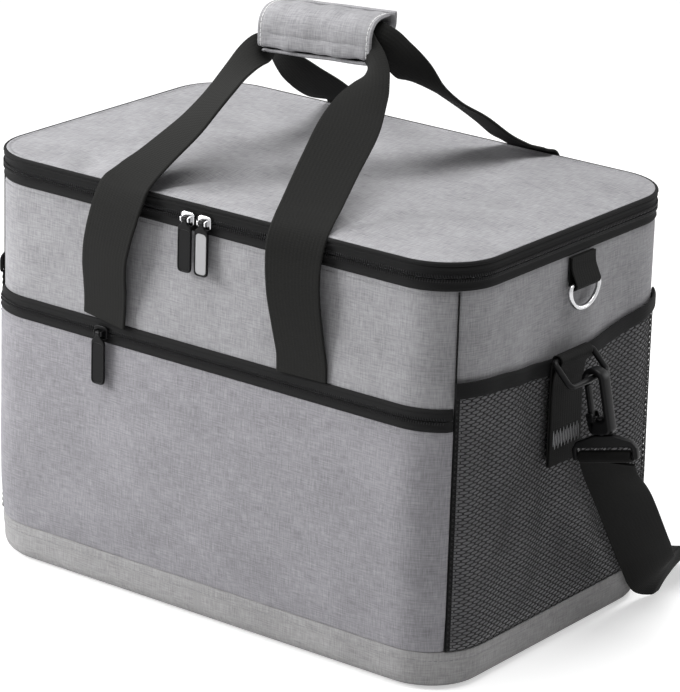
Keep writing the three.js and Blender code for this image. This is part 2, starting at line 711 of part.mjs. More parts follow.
function zipPuller(x, chainZ, beadOut) {
  const pinY = front(beadOut - 0.3) - SLIDER_PLATE - 0.3 - EYE_R;
  const half = PULLER_W / 2;
  const low = chainZ - PULLER_L;
  const shape = shapeFrom([
    [x - 2, chainZ], [x - 2, chainZ - 4], [x - half, chainZ - 8], [x - half, low + 3],
    [x - half + 3, low], [x + half - 3, low], [x + half, low + 3], [x + half, chainZ - 8],
    [x + 2, chainZ - 4], [x + 2, chainZ],
  ]);
  const window = shapeFrom([
    [x - half + 2.6, chainZ - 11], [x - half + 2.6, low + 4], [x + half - 2.6, low + 4],
    [x + half - 2.6, chainZ - 11],
  ]);
  const plate = (s, thick) => {
    const geometry = extrude(s, thick);
    geometry.translate(0, 0, -thick / 2);
    geometry.applyMatrix4(new THREE.Matrix4().makeBasis(v3(1, 0, 0), v3(0, 0, 1), v3(0, -1, 0)));
    geometry.translate(0, pinY, 0);
    return geometry;
  };
  return joined(
    [plate(shape, PULLER_T), bar('x', EYE_R, x - 2, x + 2, [pinY, chainZ])],
    [bar('x', PIN_R + 0.35, x - 3, x + 3, [pinY, chainZ]), plate(window, PULLER_T + 2)],
  );
}

const lidBeadIn = BEAD_OUT + BEAD_T;
for (const [name, x] of [['left', LID_SLIDER_LEFT_X], ['right', LID_SLIDER_RIGHT_X]]) {
  add(`lid_slider_${name}`, zipSlider(x, CHAIN_Z, BEAD_OUT, lidBeadIn, 1.2), CHROME, 0.25, 1);
  add(`lid_puller_${name}`, zipPuller(x, CHAIN_Z, BEAD_OUT), PLASTIC, 0.4);
}
add('pocket_slider', zipSlider(POCKET_SLIDER_X, POCKET_CHAIN_Z, pocketBeadOut, pocketBeadIn, 0.7), PLASTIC, 0.35);
add('pocket_puller', zipPuller(POCKET_SLIDER_X, POCKET_CHAIN_Z, pocketBeadOut), PLASTIC, 0.4);

// D-ring on its tab
const TAB_X = BODY_W / 2 + GAP;
const EYE_X = TAB_X + D_RING_R + 2.6;
add('d_ring_tab', joined([
  block(TAB_X, TAB_X + TAB_T, TAB_Y - TAB_W / 2, TAB_Y + TAB_W / 2, TAB_Z, PANEL_TOP - GAP),
  bar('y', D_RING_R + 2.4, TAB_Y - TAB_W / 2, TAB_Y + TAB_W / 2, [EYE_X + 0.2, TAB_Z], 16),
], [bar('y', D_RING_R + 0.6, TAB_Y - TAB_W, TAB_Y + TAB_W, [EYE_X + 0.2, TAB_Z], 12)]), BLACK);

function dRing() {
  const points = [];
  const half = D_RING_W / 2;
  points.push(new THREE.Vector2(-half + 3, 0), new THREE.Vector2(half - 3, 0));
  points.push(new THREE.Vector2(half - 0.8, -0.9), new THREE.Vector2(half, -3));
  for (let i = 1; i <= 13; i += 1) {
    const a = (i / 14) * Math.PI;
    points.push(new THREE.Vector2(half * Math.cos(a), -3 - (D_RING_H - 3) * Math.sin(a)));
  }
  points.push(new THREE.Vector2(-half, -3), new THREE.Vector2(-half + 0.8, -0.9));
  const geometry = hoop(points, D_RING_R);
  geometry.rotateZ(Math.PI / 2);
  geometry.translate(EYE_X + 0.2, TAB_Y, TAB_Z);
  return geometry;
}
add('d_ring', dRing(), CHROME, 0.25, 1);

// Strap anchor: webbing folded round the ring's upper bar and sewn to the side
function strapAnchor() {
  const half = ANCHOR_W / 2;
  return joined([
    block(ANCHOR_X, ANCHOR_X + ANCHOR_T, ANCHOR_Y - half, ANCHOR_Y + half, ANCHOR_LOW, RING_Z),
    bar('y', RING_R + 2.5, ANCHOR_Y - half, ANCHOR_Y + half, [RING_X, RING_Z], 16),
  ], [bar('y', RING_R + 0.6, ANCHOR_Y - STRAP_W, ANCHOR_Y + STRAP_W, [RING_X, RING_Z], 12)]);
}

function strapRing() {
  const points = [];
  const r = 3;
  const corners = [[1, 0, 0], [-1, 0, 90], [-1, -1, 180], [1, -1, 270]];
  for (const [sx, sz, from] of corners) {
    for (let i = 0; i <= 3; i += 1) {
      const a = rad(from + i * 30);
      const cx = sx * (RING_W / 2 - r);
      const cz = sz ? -RING_H + r : -r;
      points.push(new THREE.Vector2(cx + r * Math.cos(a), cz + r * Math.sin(a)));
    }
  }
  const geometry = hoop(points, RING_R);
  geometry.rotateZ(Math.PI / 2);
  geometry.rotateY(-rad(RING_TILT));
  geometry.translate(RING_X, ANCHOR_Y, RING_Z);
  return geometry;
}

// Clip, drawn in its own frame: u across the bow, v up the shank, w through it.
const BOW_X = RING_X + RING_H * Math.sin(rad(RING_TILT));
const BOW_Z = RING_Z - RING_H * Math.cos(rad(RING_TILT));
const BOW_DROP = BOW_IN - RING_R - 0.4;
const clipFrame = new THREE.Matrix4().makeRotationY(-rad(HOOK_TILT));
clipFrame.setPosition(BOW_X, ANCHOR_Y + HOOK_SHIFT, BOW_Z);

function placedClip(geometry) {
  geometry.applyMatrix4(clipFrame);
  return geometry;
}

// a flat outline of [u, v] pairs, thick along w and centred on it
function plateUV(shape, thick, at = 0) {
  const geometry = extrude(shape, thick);
  geometry.translate(0, 0, at - thick / 2);
  geometry.applyMatrix4(new THREE.Matrix4().makeBasis(v3(1, 0, 0), v3(0, 0, 1), v3(0, -1, 0)));
  return geometry;
}

const BLOCK_TOP = -SHANK_L;
const BLOCK_LOW = BLOCK_TOP - BLOCK_H;
const NOSE_V = -2.5;
const GATE_U = -(BOW_IN + BOW_OUT) / 2;
const GATE_V = BLOCK_TOP + 3;

function snapHook() {
  const shape = new THREE.Shape();
  shape.moveTo(BOW_OUT, 0);
  shape.absarc(0, 0, BOW_OUT, 0, Math.PI, false);
  shape.lineTo(-BOW_OUT, NOSE_V);
  shape.lineTo(-BOW_IN, NOSE_V);
  shape.lineTo(-BOW_IN, 0);
  shape.absarc(0, 0, BOW_IN, Math.PI, 0, true);
  shape.lineTo(BOW_IN, BLOCK_TOP);
  shape.lineTo(-BOW_IN + 0.4, BLOCK_TOP);
  shape.lineTo(-BOW_IN + 0.4, GATE_V + 2.4);
  shape.lineTo(-BOW_OUT, GATE_V + 2.4);
  shape.lineTo(-BOW_OUT, BLOCK_LOW + 3);
  shape.lineTo(-BOW_OUT + 4, BLOCK_LOW);
  shape.lineTo(BOW_OUT - 4, BLOCK_LOW);
  shape.lineTo(BOW_OUT, BLOCK_LOW + 3);
  shape.lineTo(BOW_OUT, 0);
  const geometry = joined([plateUV(shape, HOOK_T)], [
    block(-BOW_OUT - 2, -BOW_IN + 1, -2.9, 2.9, GATE_V - 2.2, GATE_V + 4),
    bar('y', 1.3, -HOOK_T, HOOK_T, [GATE_U, GATE_V], 10),
    bar('z', STEM_R + 0.35, BLOCK_LOW - 1, BLOCK_TOP + 1, [0, 0], 14),
  ]);
  geometry.translate(0, 0, -BOW_DROP);
  return placedClip(geometry);
}

function hookGate() {
  const top = NOSE_V - 0.5;
  const geometry = joined([
    block(GATE_U - GATE_T / 2, GATE_U + GATE_T / 2, -2.5, 2.5, GATE_V, top),
    bar('y', GATE_T / 2, -2.5, 2.5, [GATE_U, GATE_V], 12),
    bar('y', 0.9, -HOOK_T / 2, HOOK_T / 2, [GATE_U, GATE_V], 10),
  ]);
  geometry.translate(0, 0, -BOW_DROP);
  return placedClip(geometry);
}

const FRAME_TOP = BLOCK_LOW - 0.5;
const BAR_V = FRAME_TOP - FRAME_H + BAR_R;

function swivelFrame() {
  const half = FRAME_W / 2;
  const outer = shapeFrom([
    [-6, FRAME_TOP], [6, FRAME_TOP], [half - 3, FRAME_TOP - 5], [half, FRAME_TOP - 9],
    [half, BAR_V - BAR_R], [-half, BAR_V - BAR_R], [-half, FRAME_TOP - 9], [-half + 3, FRAME_TOP - 5],
  ]);
  const window = shapeFrom([
    [-STRAP_W / 2 - 0.8, BAR_V + BAR_R], [STRAP_W / 2 + 0.8, BAR_V + BAR_R],
    [STRAP_W / 2 + 0.8, FRAME_TOP - 8.2], [-STRAP_W / 2 - 0.8, FRAME_TOP - 8.2],
  ]);
  const trim = STRAP_W / 2 + 0.8;
  const geometry = joined([
    fromManifold(toManifold(plateUV(outer, FRAME_T)).subtract(Manifold.union([
      toManifold(plateUV(window, FRAME_T + 2)),
      toManifold(block(-trim, trim, -FRAME_T, FRAME_T, BAR_V - BAR_R - 1, BAR_V + BAR_R + 0.1)),
    ]))),
    bar('x', BAR_R, -trim - 1, trim + 1, [0, BAR_V], 12),
    bar('z', STEM_R, FRAME_TOP - 1, BLOCK_TOP + 1, [0, 0], 14),
    bar('z', STEM_R + 1.2, BLOCK_TOP + 0.4, BLOCK_TOP + 2.2, [0, 0], 14),
  ]);
  geometry.rotateZ(rad(SWIVEL_TURN));
  geometry.translate(0, 0, -BOW_DROP);
  return placedClip(geometry);
}

for (const [name, flip] of [['right', false], ['left', true]]) {
  const put = (piece, geometry, colour, roughness) => (
    add(`${name}_${piece}`, flip ? mirrored(geometry) : geometry, colour, roughness)
  );
  put('strap_anchor', strapAnchor(), BLACK);
  put('strap_ring', strapRing(), PLASTIC, 0.35);
  put('hook', snapHook(), PLASTIC, 0.35);
  put('hook_gate', hookGate(), PLASTIC, 0.35);
  put('swivel_frame', swivelFrame(), PLASTIC, 0.35);
}

// Shoulder strap: from one swivel frame down to the floor, behind the bag and up to the other
const barAt = v3(0, 0, BAR_V - BOW_DROP).applyMatrix4(clipFrame);
const barAcross = v3(Math.cos(rad(SWIVEL_TURN)), Math.sin(rad(SWIVEL_TURN)), 0).transformDirection(clipFrame);
const strapEnd = v3(0, 0, BAR_V - BOW_DROP - BAR_R - 1.4).applyMatrix4(clipFrame);
const FLOOR = GAP + STRAP_T / 2;
const BEHIND = BODY_D / 2 + 36;
const edgeX = BODY_W / 2;
const strapRight = [
  [strapEnd.x, strapEnd.y, strapEnd.z, barAcross.x, barAcross.y, barAcross.z],
  [edgeX + 32, barAt.y + 11, barAt.z - 16, 0.93, 0.36, 0.08],
  [edgeX + 27.5, barAt.y + 36, barAt.z - 43, 0.8, 0.58, 0.18],
  [edgeX + 18.5, barAt.y + 81, 45, 0.6, 0.76, 0.26],
  [edgeX + 13.5, barAt.y + 105, 14, 0.5, 0.83, 0.22],
  [edgeX + 9.5, barAt.y + 116, FLOOR + 1.6, 0.45, 0.89, 0.08],
  [edgeX + 1, barAt.y + 129, FLOOR, 0.47, 0.88, 0],
  [edgeX - 27, BODY_D / 2 + 22, FLOOR, 0.42, 0.91, 0],
  [edgeX - 75, BODY_D / 2 + 31, FLOOR, 0.16, 0.98, 0],
  [edgeX - 130, BEHIND, FLOOR, 0, 1, 0],
];

function strapEye(sign) {
  const sleeve = (radius, length, sides) => {
    const geometry = bar('x', radius, -length / 2, length / 2, [0, BAR_V], sides);
    geometry.rotateZ(rad(SWIVEL_TURN));
    geometry.translate(0, 0, -BOW_DROP);
    placedClip(geometry);
    return sign < 0 ? mirrored(geometry) : geometry;
  };
  return [sleeve(BAR_R + 2.4, STRAP_W, 14), sleeve(BAR_R + 0.5, STRAP_W + 6, 12)];
}

// Lifts each station until its lower edge is clear of the floor.
function clearOfFloor(stations) {
  for (let pass = 0; pass < 3; pass += 1) {
    stations.forEach((s, i) => {
      const before = stations[Math.max(i - 1, 0)].at;
      const after = stations[Math.min(i + 1, stations.length - 1)].at;
      const along = new THREE.Vector3().subVectors(after, before).normalize();
      const across = s.across.clone().addScaledVector(along, -along.dot(s.across)).normalize();
      const up = new THREE.Vector3().crossVectors(along, across);
      const reach = (Math.abs(across.z) * s.width + Math.abs(up.z) * s.thick) / 2;
      s.at.z = Math.max(s.at.z, GAP + reach);
    });
  }
  return stations;
}

function shoulderStrap() {
  const half = clearOfFloor(stationsFrom(strapRight.map((r) => [...r, STRAP_W, STRAP_T]), 30));
  const [rightOut, rightIn] = strapEye(1);
  const [leftOut, leftIn] = strapEye(-1);
  return joined([ribbon(bothSides(half)), rightOut, leftOut], [rightIn, leftIn]);
}
add('shoulder_strap', shoulderStrap(), BLACK);

export default group;
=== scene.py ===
"""Looks of the cooler bag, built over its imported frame. Lengths are millimetres unless said."""
import json
import math

import bpy
import numpy as np
from mathutils import Matrix, Vector

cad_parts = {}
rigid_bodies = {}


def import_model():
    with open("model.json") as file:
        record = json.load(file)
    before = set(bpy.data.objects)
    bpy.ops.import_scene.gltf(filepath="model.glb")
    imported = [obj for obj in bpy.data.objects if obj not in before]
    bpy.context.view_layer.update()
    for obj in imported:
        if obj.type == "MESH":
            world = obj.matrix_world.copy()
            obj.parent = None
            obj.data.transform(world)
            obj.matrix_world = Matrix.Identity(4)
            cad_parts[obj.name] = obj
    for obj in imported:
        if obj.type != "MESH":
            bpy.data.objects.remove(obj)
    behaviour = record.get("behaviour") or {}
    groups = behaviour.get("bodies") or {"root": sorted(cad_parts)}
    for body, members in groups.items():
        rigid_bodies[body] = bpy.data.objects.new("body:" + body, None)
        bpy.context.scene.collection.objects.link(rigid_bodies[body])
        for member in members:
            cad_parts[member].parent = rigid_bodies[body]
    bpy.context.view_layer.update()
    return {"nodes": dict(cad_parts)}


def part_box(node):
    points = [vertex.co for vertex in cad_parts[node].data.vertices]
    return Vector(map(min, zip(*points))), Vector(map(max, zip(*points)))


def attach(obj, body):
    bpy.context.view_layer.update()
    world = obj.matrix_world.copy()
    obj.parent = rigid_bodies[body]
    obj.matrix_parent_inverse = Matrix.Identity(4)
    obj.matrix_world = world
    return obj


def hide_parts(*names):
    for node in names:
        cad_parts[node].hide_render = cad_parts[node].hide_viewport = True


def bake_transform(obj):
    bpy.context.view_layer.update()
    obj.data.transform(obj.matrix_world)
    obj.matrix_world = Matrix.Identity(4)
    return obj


MM = 0.001
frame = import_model()


def box_mm(node):
    low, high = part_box(node)
    return np.array(low) / MM, np.array(high) / MM


def span_z(node):
    low, high = box_mm(node)
    return low[2], high[2]


# Sizes read from the frame
HALF_W, HALF_D, RIM_TOP = box_mm("base_tray")[1]
PANEL_TOP = span_z("front_panel")[1]
BACK_TOP = span_z("back_panel")[1]
LID_EDGE = span_z("lid_panel")[0]
BODY_TAPE_LOW, BODY_TAPE_HIGH = span_z("body_zip_tape")
LID_TAPE_LOW, LID_TAPE_HIGH = span_z("lid_zip_tape")
CHAIN_Z = (BODY_TAPE_HIGH + LID_TAPE_LOW) / 2
POCKET_TOP = span_z("pocket_panel")[1]
POCKET_ZIP_LOW = span_z("pocket_zip_tape_low")[0]
POCKET_ZIP_HIGH = span_z("pocket_zip_tape_high")[1]
POCKET_CHAIN_Z = (POCKET_ZIP_LOW + POCKET_ZIP_HIGH) / 2

# Sizes shared with the frame's part
CORNER_R = 42.0
POCKET_OFF = 2.8
NET_FOOT, NET_TOP, NET_SAG = 31.0, 208.0, 8.0
BINDING_H = 11.0
WEB_W, WEB_T = 40.0, 2.0
GRIP_Y, GRIP_Z, RUN_PITCH = -10.0, 391.0, 7.4

# The grip as shown: its length, its slope, and where along it the slope starts
GRIP_L, GRIP_TILT, GRIP_HIGH_X = 93.0, 0.07, 50.0
SIDES = (("right", 1), ("left", -1))

# Body outline, measured round from the middle of the front
LONG = 2 * (HALF_W - CORNER_R)
SHORT = 2 * (HALF_D - CORNER_R)
QUARTER = math.pi * CORNER_R / 2
AROUND = 2 * (LONG + SHORT) + 4 * QUARTER
SEAM_SHIFT, SEAM_WIDTH = 4.0, 2.4
SEAM_F = LONG / 2 + QUARTER / 2 + SEAM_SHIFT
SEAM_B = LONG / 2 + QUARTER + SHORT + QUARTER / 2
SIDE_MID = LONG / 2 + QUARTER + SHORT / 2
ANCHOR_Y = -9.0


def outline(s):
    """Points and outward normals of the body outline at distances s round from the front's middle."""
    s = np.mod(np.asarray(s, float) + LONG / 2, AROUND)
    point = np.zeros(s.shape + (2,))
    normal = np.zeros(s.shape + (2,))
    reach = np.array([HALF_W, HALF_D])
    start = 0.0
    for k in range(8):
        turn = math.radians(-90 + 90 * (k // 2))
        n = np.array([math.cos(turn), math.sin(turn)])
        t = np.array([-n[1], n[0]])
        length = QUARTER if k % 2 else (LONG, SHORT)[(k // 2) % 2]
        here = (s >= start) & (s <= start + length)
        u = (s - start)[here][:, None]
        if k % 2:
            a = turn + u / CORNER_R
            normal[here] = np.concatenate([np.cos(a), np.sin(a)], axis=1)
            point[here] = (n + t) * (reach - CORNER_R) + CORNER_R * normal[here]
        else:
            normal[here] = n
            point[here] = n * abs(n @ reach) + t * (u - length / 2)
        start += length
    return point, normal


def facing(s):
    """Outward normals and level tangents of the walls."""
    normal = outline(s)[1]
    flat = np.zeros((len(s), 1))
    return np.hstack([normal, flat]), np.hstack([-normal[:, 1:], normal[:, :1], flat])


def wave(a, b, rows):
    """A sum of slow sines over two coordinates. Each row is size, wavelengths in a and b, phase."""
    total = np.zeros(np.broadcast(a, b).shape)
    for size, long_a, long_b, phase in rows:
        total = total + size * np.sin(2 * np.pi * (a / long_a + b / long_b) + phase)
    return total


def smooth(x, low, high):
    t = np.clip((x - low) / (high - low), 0, 1)
    return t * t * (3 - 2 * t)


def bell(x, middle, width):
    return np.exp(-(((x - middle) / width) ** 2))


def dip(distance, depth):
    """How a cloth sinks towards a seam."""
    return -depth * bell(distance, 0, SEAM_WIDTH)


def swell(s, z):
    """How far the filled cloth stands out of the frame's flat walls."""
    s = np.mod(np.asarray(s, float) + AROUND / 2, AROUND) - AROUND / 2
    z = np.asarray(z, float)
    away = np.abs(s)
    on_front = 1 - smooth(away, SEAM_F - 26, SEAM_F)
    on_side = smooth(away, SEAM_F, SEAM_F + 30) * (1 - smooth(away, SEAM_B - 30, SEAM_B))
    on_back = smooth(away, SEAM_B, SEAM_B + 40)
    low = np.clip((z - RIM_TOP) / (POCKET_TOP - RIM_TOP), 0, 1)
    high = np.clip((z - POCKET_ZIP_HIGH) / (PANEL_TOP - POCKET_ZIP_HIGH), 0, 1)
    whole = np.clip((z - RIM_TOP) / (PANEL_TOP - RIM_TOP), 0, 1)
    pocket = np.sin(np.pi * low) * (2.4 + wave(s, z, [
        (0.7, 190, 400, 0.4), (0.5, 95, -210, 1.9), (0.3, 62, 140, 4.1),
    ]))
    upper = np.sin(np.pi * high) * (0.1 + wave(s, z, [(0.45, 130, 95, 1.1), (0.3, 64, -150, 0.2)]))
    calm = 1 - 0.75 * bell(away, SIDE_MID + ANCHOR_Y, 26)
    side = np.sin(np.pi * whole) * calm * (-0.9 + wave(s, z, [
        (0.75, 84, 900, 0.9), (0.5, 47, -600, 2.2), (0.3, 29, 380, 0.7),
    ]))
    back = np.sin(np.pi * whole) * (1.6 + wave(s, z, [(0.6, 210, 300, 0.8), (0.4, 97, -180, 2.9)]))
    return on_front * (pocket + upper) + on_side * side + on_back * back


def wall(s, z, off):
    """Places some way out from the frame's flat walls."""
    s, z, off = np.broadcast_arrays(*(np.asarray(x, float) for x in (s, z, off)))
    point, normal = outline(s)
    return np.concatenate([point + normal * off[..., None], z[..., None]], axis=-1)


def skin(s, z, off):
    """Places some way out from the filled cloth."""
    return wall(s, z, off + swell(s, z))


def spaced(start, end, step, edge=(0.7, 1.8, 3.6)):
    """Rising values from start to end about a step apart, closer together near both ends."""
    count = max(2, int(round((end - start - 2 * edge[-1]) / step)))
    middle = np.linspace(start + edge[-1], end - edge[-1], count + 1)
    near = [start, *[start + e for e in edge[:-1]]]
    far = [*[end - e for e in reversed(edge[:-1])], end]
    return np.concatenate([near, middle, far])


def spline(rows, count):
    """A smooth line through rows of numbers whose first three are a place."""
    rows = np.asarray(rows, float)
    full = np.vstack([2 * rows[0] - rows[1], rows, 2 * rows[-1] - rows[-2]])
    gaps = np.sqrt(np.linalg.norm(np.diff(full[:, :3], axis=0), axis=1)) + 1e-6
    knots = np.concatenate([[0], np.cumsum(gaps)])
    wanted = np.linspace(knots[1], knots[-2], count + 1)
    k = np.clip(np.searchsorted(knots, wanted, side="right") - 1, 1, len(rows) - 1)
    t = wanted[:, None]
    at = [knots[k + i][:, None] for i in (-1, 0, 1, 2)]
    mixed = [full[k + i] for i in (-1, 0, 1, 2)]
    for ends in (((0, 1), (1, 2), (2, 3)), ((0, 2), (1, 3)), ((1, 2),)):
        mixed = [(at[b] - t) / (at[b] - at[a]) * mixed[i] + (t - at[a]) / (at[b] - at[a]) * mixed[i + 1]
                 for i, (a, b) in enumerate(ends)]
    return mixed[0]


def unit(v):
    return v / np.maximum(np.linalg.norm(v, axis=-1, keepdims=True), 1e-9)


def square_to(v, along):
    """The direction of the part of v that is square to a line."""
    return unit(v - along * np.sum(along * v, axis=-1, keepdims=True))


def run_length(path):
    return np.concatenate([[0], np.cumsum(np.linalg.norm(np.diff(path, axis=0), axis=1))])


# Meshes: each builder returns points, faces and cloth coordinates
EDGE_ROLL = 0.45


def sheet(grid, thick, u, v):
    """A cloth of even thickness behind a grid of outer points, with rolled edges."""
    rows, cols = grid.shape[:2]
    size = rows * cols
    du = np.gradient(grid, axis=0)
    dv = np.gradient(grid, axis=1)
    front = grid.reshape(-1, 3)
    back = (grid - unit(np.cross(du, dv)) * thick).reshape(-1, 3)
    index = np.arange(size).reshape(rows, cols)
    corners = [index[:-1, :-1], index[1:, :-1], index[1:, 1:], index[:-1, 1:]]
    outer = np.stack(corners, axis=-1).reshape(-1, 4)
    loop = np.concatenate([index[:-1, 0], index[-1, :-1], index[:0:-1, -1], index[0, :0:-1]])
    side = np.zeros_like(grid)
    side[0] -= unit(du[0])
    side[-1] += unit(du[-1])
    side[:, 0] -= unit(dv[:, 0])
    side[:, -1] += unit(dv[:, -1])
    edge = (front[loop] + back[loop]) / 2 + unit(side.reshape(-1, 3)[loop]) * thick * EDGE_ROLL
    here = np.arange(len(loop))
    nxt = (here + 1) % len(loop)
    rim = 2 * size
    faces = [
        outer,
        outer[:, ::-1] + size,
        np.stack([loop, rim + here, rim + nxt, loop[nxt]], axis=-1),
        np.stack([rim + here, loop + size, loop[nxt] + size, rim + nxt], axis=-1),
    ]
    cloth = np.stack(np.broadcast_arrays(u, v, np.zeros((rows, cols))), axis=-1).reshape(-1, 3)
    return (
        np.concatenate([front, back, edge]),
        np.concatenate(faces).tolist(),
        np.concatenate([cloth, cloth, cloth[loop]]),
    )


def hoops(count, size, closed=False):
    """Faces that join rings of points in order, with both ends capped unless the row of rings is closed."""
    ring = np.arange(size)
    nxt = (ring + 1) % size
    faces = []
    for i in range(count if closed else count - 1):
        low = i * size
        high = (i + 1) % count * size
        faces.extend(np.stack([low + ring, low + nxt, high + nxt, high + ring], axis=-1).tolist())
    if not closed:
        faces.append(ring[::-1].tolist())
        faces.append((ring + (count - 1) * size).tolist())
    return faces


def sweep(path, across, sections, closed=False):
    """Sections of [across, up] pairs, anticlockwise, carried along a path."""
    path = np.asarray(path, float)
    count = len(path)
    if closed:
        along = unit(np.roll(path, -1, axis=0) - np.roll(path, 1, axis=0))
    else:
        along = unit(np.gradient(path, axis=0))
    across = square_to(np.broadcast_to(np.asarray(across, float), path.shape), along)
    up = np.cross(along, across)
    sections = np.broadcast_to(np.asarray(sections, float), (count,) + np.shape(sections)[-2:])
    points = path[:, None] + sections[..., :1] * across[:, None] + sections[..., 1:] * up[:, None]
    steps = np.linalg.norm(np.diff(sections, axis=1, append=sections[:, :1]), axis=2)
    girth = np.cumsum(steps, axis=1) - steps
    gone = np.broadcast_to(run_length(path)[:, None], girth.shape)
    cloth = np.stack([girth, gone, 0 * girth], axis=-1)
    return points.reshape(-1, 3), hoops(count, sections.shape[1], closed), cloth.reshape(-1, 3)


def join(parts):
    points, faces, cloth, start = [], [], [], 0
    for p, f, c in parts:
        points.append(p)
        faces.extend([[i + start for i in face] for face in f])
        cloth.append(c)
        start += len(p)
    return np.concatenate(points), faces, np.concatenate(cloth)


def sided(mesh, sign):
    """A mesh of the right side as it is, or turned over for the left."""
    if sign > 0:
        return mesh
    points, faces, cloth = mesh
    return points * np.array([-1, 1, 1]), [face[::-1] for face in faces], cloth


def circle(radius, count):
    a = np.arange(count) / count * 2 * np.pi
    return np.stack([radius * np.cos(a), radius * np.sin(a)], axis=1)


def arc(cx, cy, radius, start, end, steps):
    a = np.radians(np.linspace(start, end, steps + 1))
    return [(cx + radius * math.cos(t), cy + radius * math.sin(t)) for t in a]


def band(width, thick, crown=0.0, half=12):
    """Section of a webbing with rounded edges, its middle raised by a crown."""
    t = np.sin(np.linspace(-np.pi / 2, np.pi / 2, 2 * half + 1)) * width / 2
    rise = crown * (1 - (2 * t / width) ** 2)
    slope = -8 * crown * t / width ** 2
    normal = unit(np.stack([-slope, np.ones(len(t))], axis=1))
    edge = np.clip((width / 2 - np.abs(t)) / 0.7, 0, 1)
    depth = (thick / 2 * np.sqrt(np.clip(1 - (1 - edge) ** 2, 0.06, 1)))[:, None]
    centre = np.stack([t, rise], axis=1)
    return np.concatenate([centre - normal * depth, (centre + normal * depth)[::-1]])


def strip(width, thick, count=9):
    """Section of a narrow flat strip with rounded edges."""
    t = np.sin(np.linspace(-np.pi / 2, np.pi / 2, count))
    depth = thick / 2 * (1 - 0.85 * np.abs(t) ** 6)
    lower = np.stack([t * width / 2, -depth], axis=1)
    upper = np.stack([t * width / 2, depth], axis=1)
    return np.concatenate([lower, upper[::-1]])


def bend(p, before, after, radius, steps, longest=math.inf):
    """A rounded corner at p between the ways to the points before and after it."""
    before, after = unit(before), unit(after)
    half = math.acos(np.clip(before @ after, -1, 1)) / 2
    reach = min(radius / math.tan(half), longest)
    start, end = p + before * reach, p + after * reach
    t = np.linspace(0, 1, steps + 1)[:, None]
    return (1 - t) ** 2 * start + 2 * t * (1 - t) * p + t * t * end


def rounded(points, radius, steps):
    """A closed outline with its corners rounded."""
    points = np.asarray(points, float)
    parts = []
    for i, p in enumerate(points):
        before, after = points[i - 1] - p, points[(i + 1) % len(points)] - p
        longest = 0.48 * min(np.linalg.norm(before), np.linalg.norm(after))
        parts.append(bend(p, before, after, radius, steps, longest))
    return np.concatenate(parts)


def hull_path(points, radii):
    """A line through [y, z] corners with rounded bends, in even steps, and the length run at each step."""
    points = np.asarray(points, float)
    parts = [points[:1]]
    for i, radius in enumerate(radii, 1):
        parts.append(bend(points[i], points[i - 1] - points[i], points[i + 1] - points[i], radius, 8))
    line = np.concatenate([*parts, points[-1:]])
    gone = run_length(line)
    wanted = np.linspace(0, gone[-1], int(gone[-1] / 1.6) + 2)
    return np.stack([np.interp(wanted, gone, line[:, k]) for k in (0, 1)], axis=1), wanted


def plate(outlines, thick, bevel, place):
    """A flat piece with holes and rounded edges. Outlines are [x, y] pairs, put in place by a matrix."""
    curve = bpy.data.curves.new("plate_outline", "CURVE")
    curve.dimensions = "2D"
    curve.fill_mode = "BOTH"
    curve.extrude = thick / 2 - bevel
    curve.bevel_depth = bevel
    curve.bevel_resolution = 2
    curve.offset = -bevel
    for points in outlines:
        line = curve.splines.new("POLY")
        line.points.add(len(points) - 1)
        line.points.foreach_set("co", [c for x, y in points for c in (x, y, 0, 1)])
        line.use_cyclic_u = True
    holder = bpy.data.objects.new("plate_outline", curve)
    bpy.context.scene.collection.objects.link(holder)
    shape = bpy.data.meshes.new_from_object(holder.evaluated_get(bpy.context.evaluated_depsgraph_get()))
    points = np.array([v.co for v in shape.vertices])
    faces = [list(p.vertices) for p in shape.polygons]
    bpy.data.objects.remove(holder)
    bpy.data.curves.remove(curve)
    bpy.data.meshes.remove(shape)
    turn = np.array(place)
    return points @ turn[:3, :3].T + turn[:3, 3], faces, points


def brick(low, high, bevel):
    """A box with rounded upright edges."""
    low, high = np.minimum(low, high), np.maximum(low, high)
    corners = [(low[0], low[1]), (high[0], low[1]), (high[0], high[1]), (low[0], high[1])]
    middle = Matrix.Translation((0, 0, (low[2] + high[2]) / 2))
    return plate([rounded(corners, bevel * 1.6, 3)], high[2] - low[2], bevel, middle)


def rod(start, end, radius, count=12):
    """A round bar with chamfered ends."""
    start, end = np.asarray(start, float), np.asarray(end, float)
    along = unit(end - start)
    side = (0, 0, 1) if abs(along[2]) < 0.8 else (1, 0, 0)
    chamfer = along * min(radius * 0.3, np.linalg.norm(end - start) * 0.2)
    scale = np.array([0.7, 1, 1, 0.7])[:, None, None]
    return sweep([start, start + chamfer, end - chamfer, end], side, circle(radius, count) * scale)


def scatter(places, along, normal, length, width, height):
    """Small lozenges with rounded tops, one at each place: stitches and zip teeth."""
    along = unit(np.asarray(along, float))
    normal = square_to(np.asarray(normal, float), along)
    side = np.cross(normal, along)
    shape = []
    for t, scale in ((-0.5, 0.35), (-0.3, 1), (0.3, 1), (0.5, 0.35)):
        for a in np.arange(6) / 6 * 2 * np.pi:
            shape.append((t * length, math.cos(a) * width / 2 * scale, math.sin(a) * height / 2 * scale))
    shape = np.array(shape)
    points = np.asarray(places, float)[:, None]
    for k, way in enumerate((along, side, normal)):
        points = points + shape[None, :, k:k + 1] * way[:, None]
    one = hoops(4, 6)
    faces = [[len(shape) * i + v for v in face] for i in range(len(places)) for face in one]
    flat = points.reshape(-1, 3)
    return flat, faces, flat


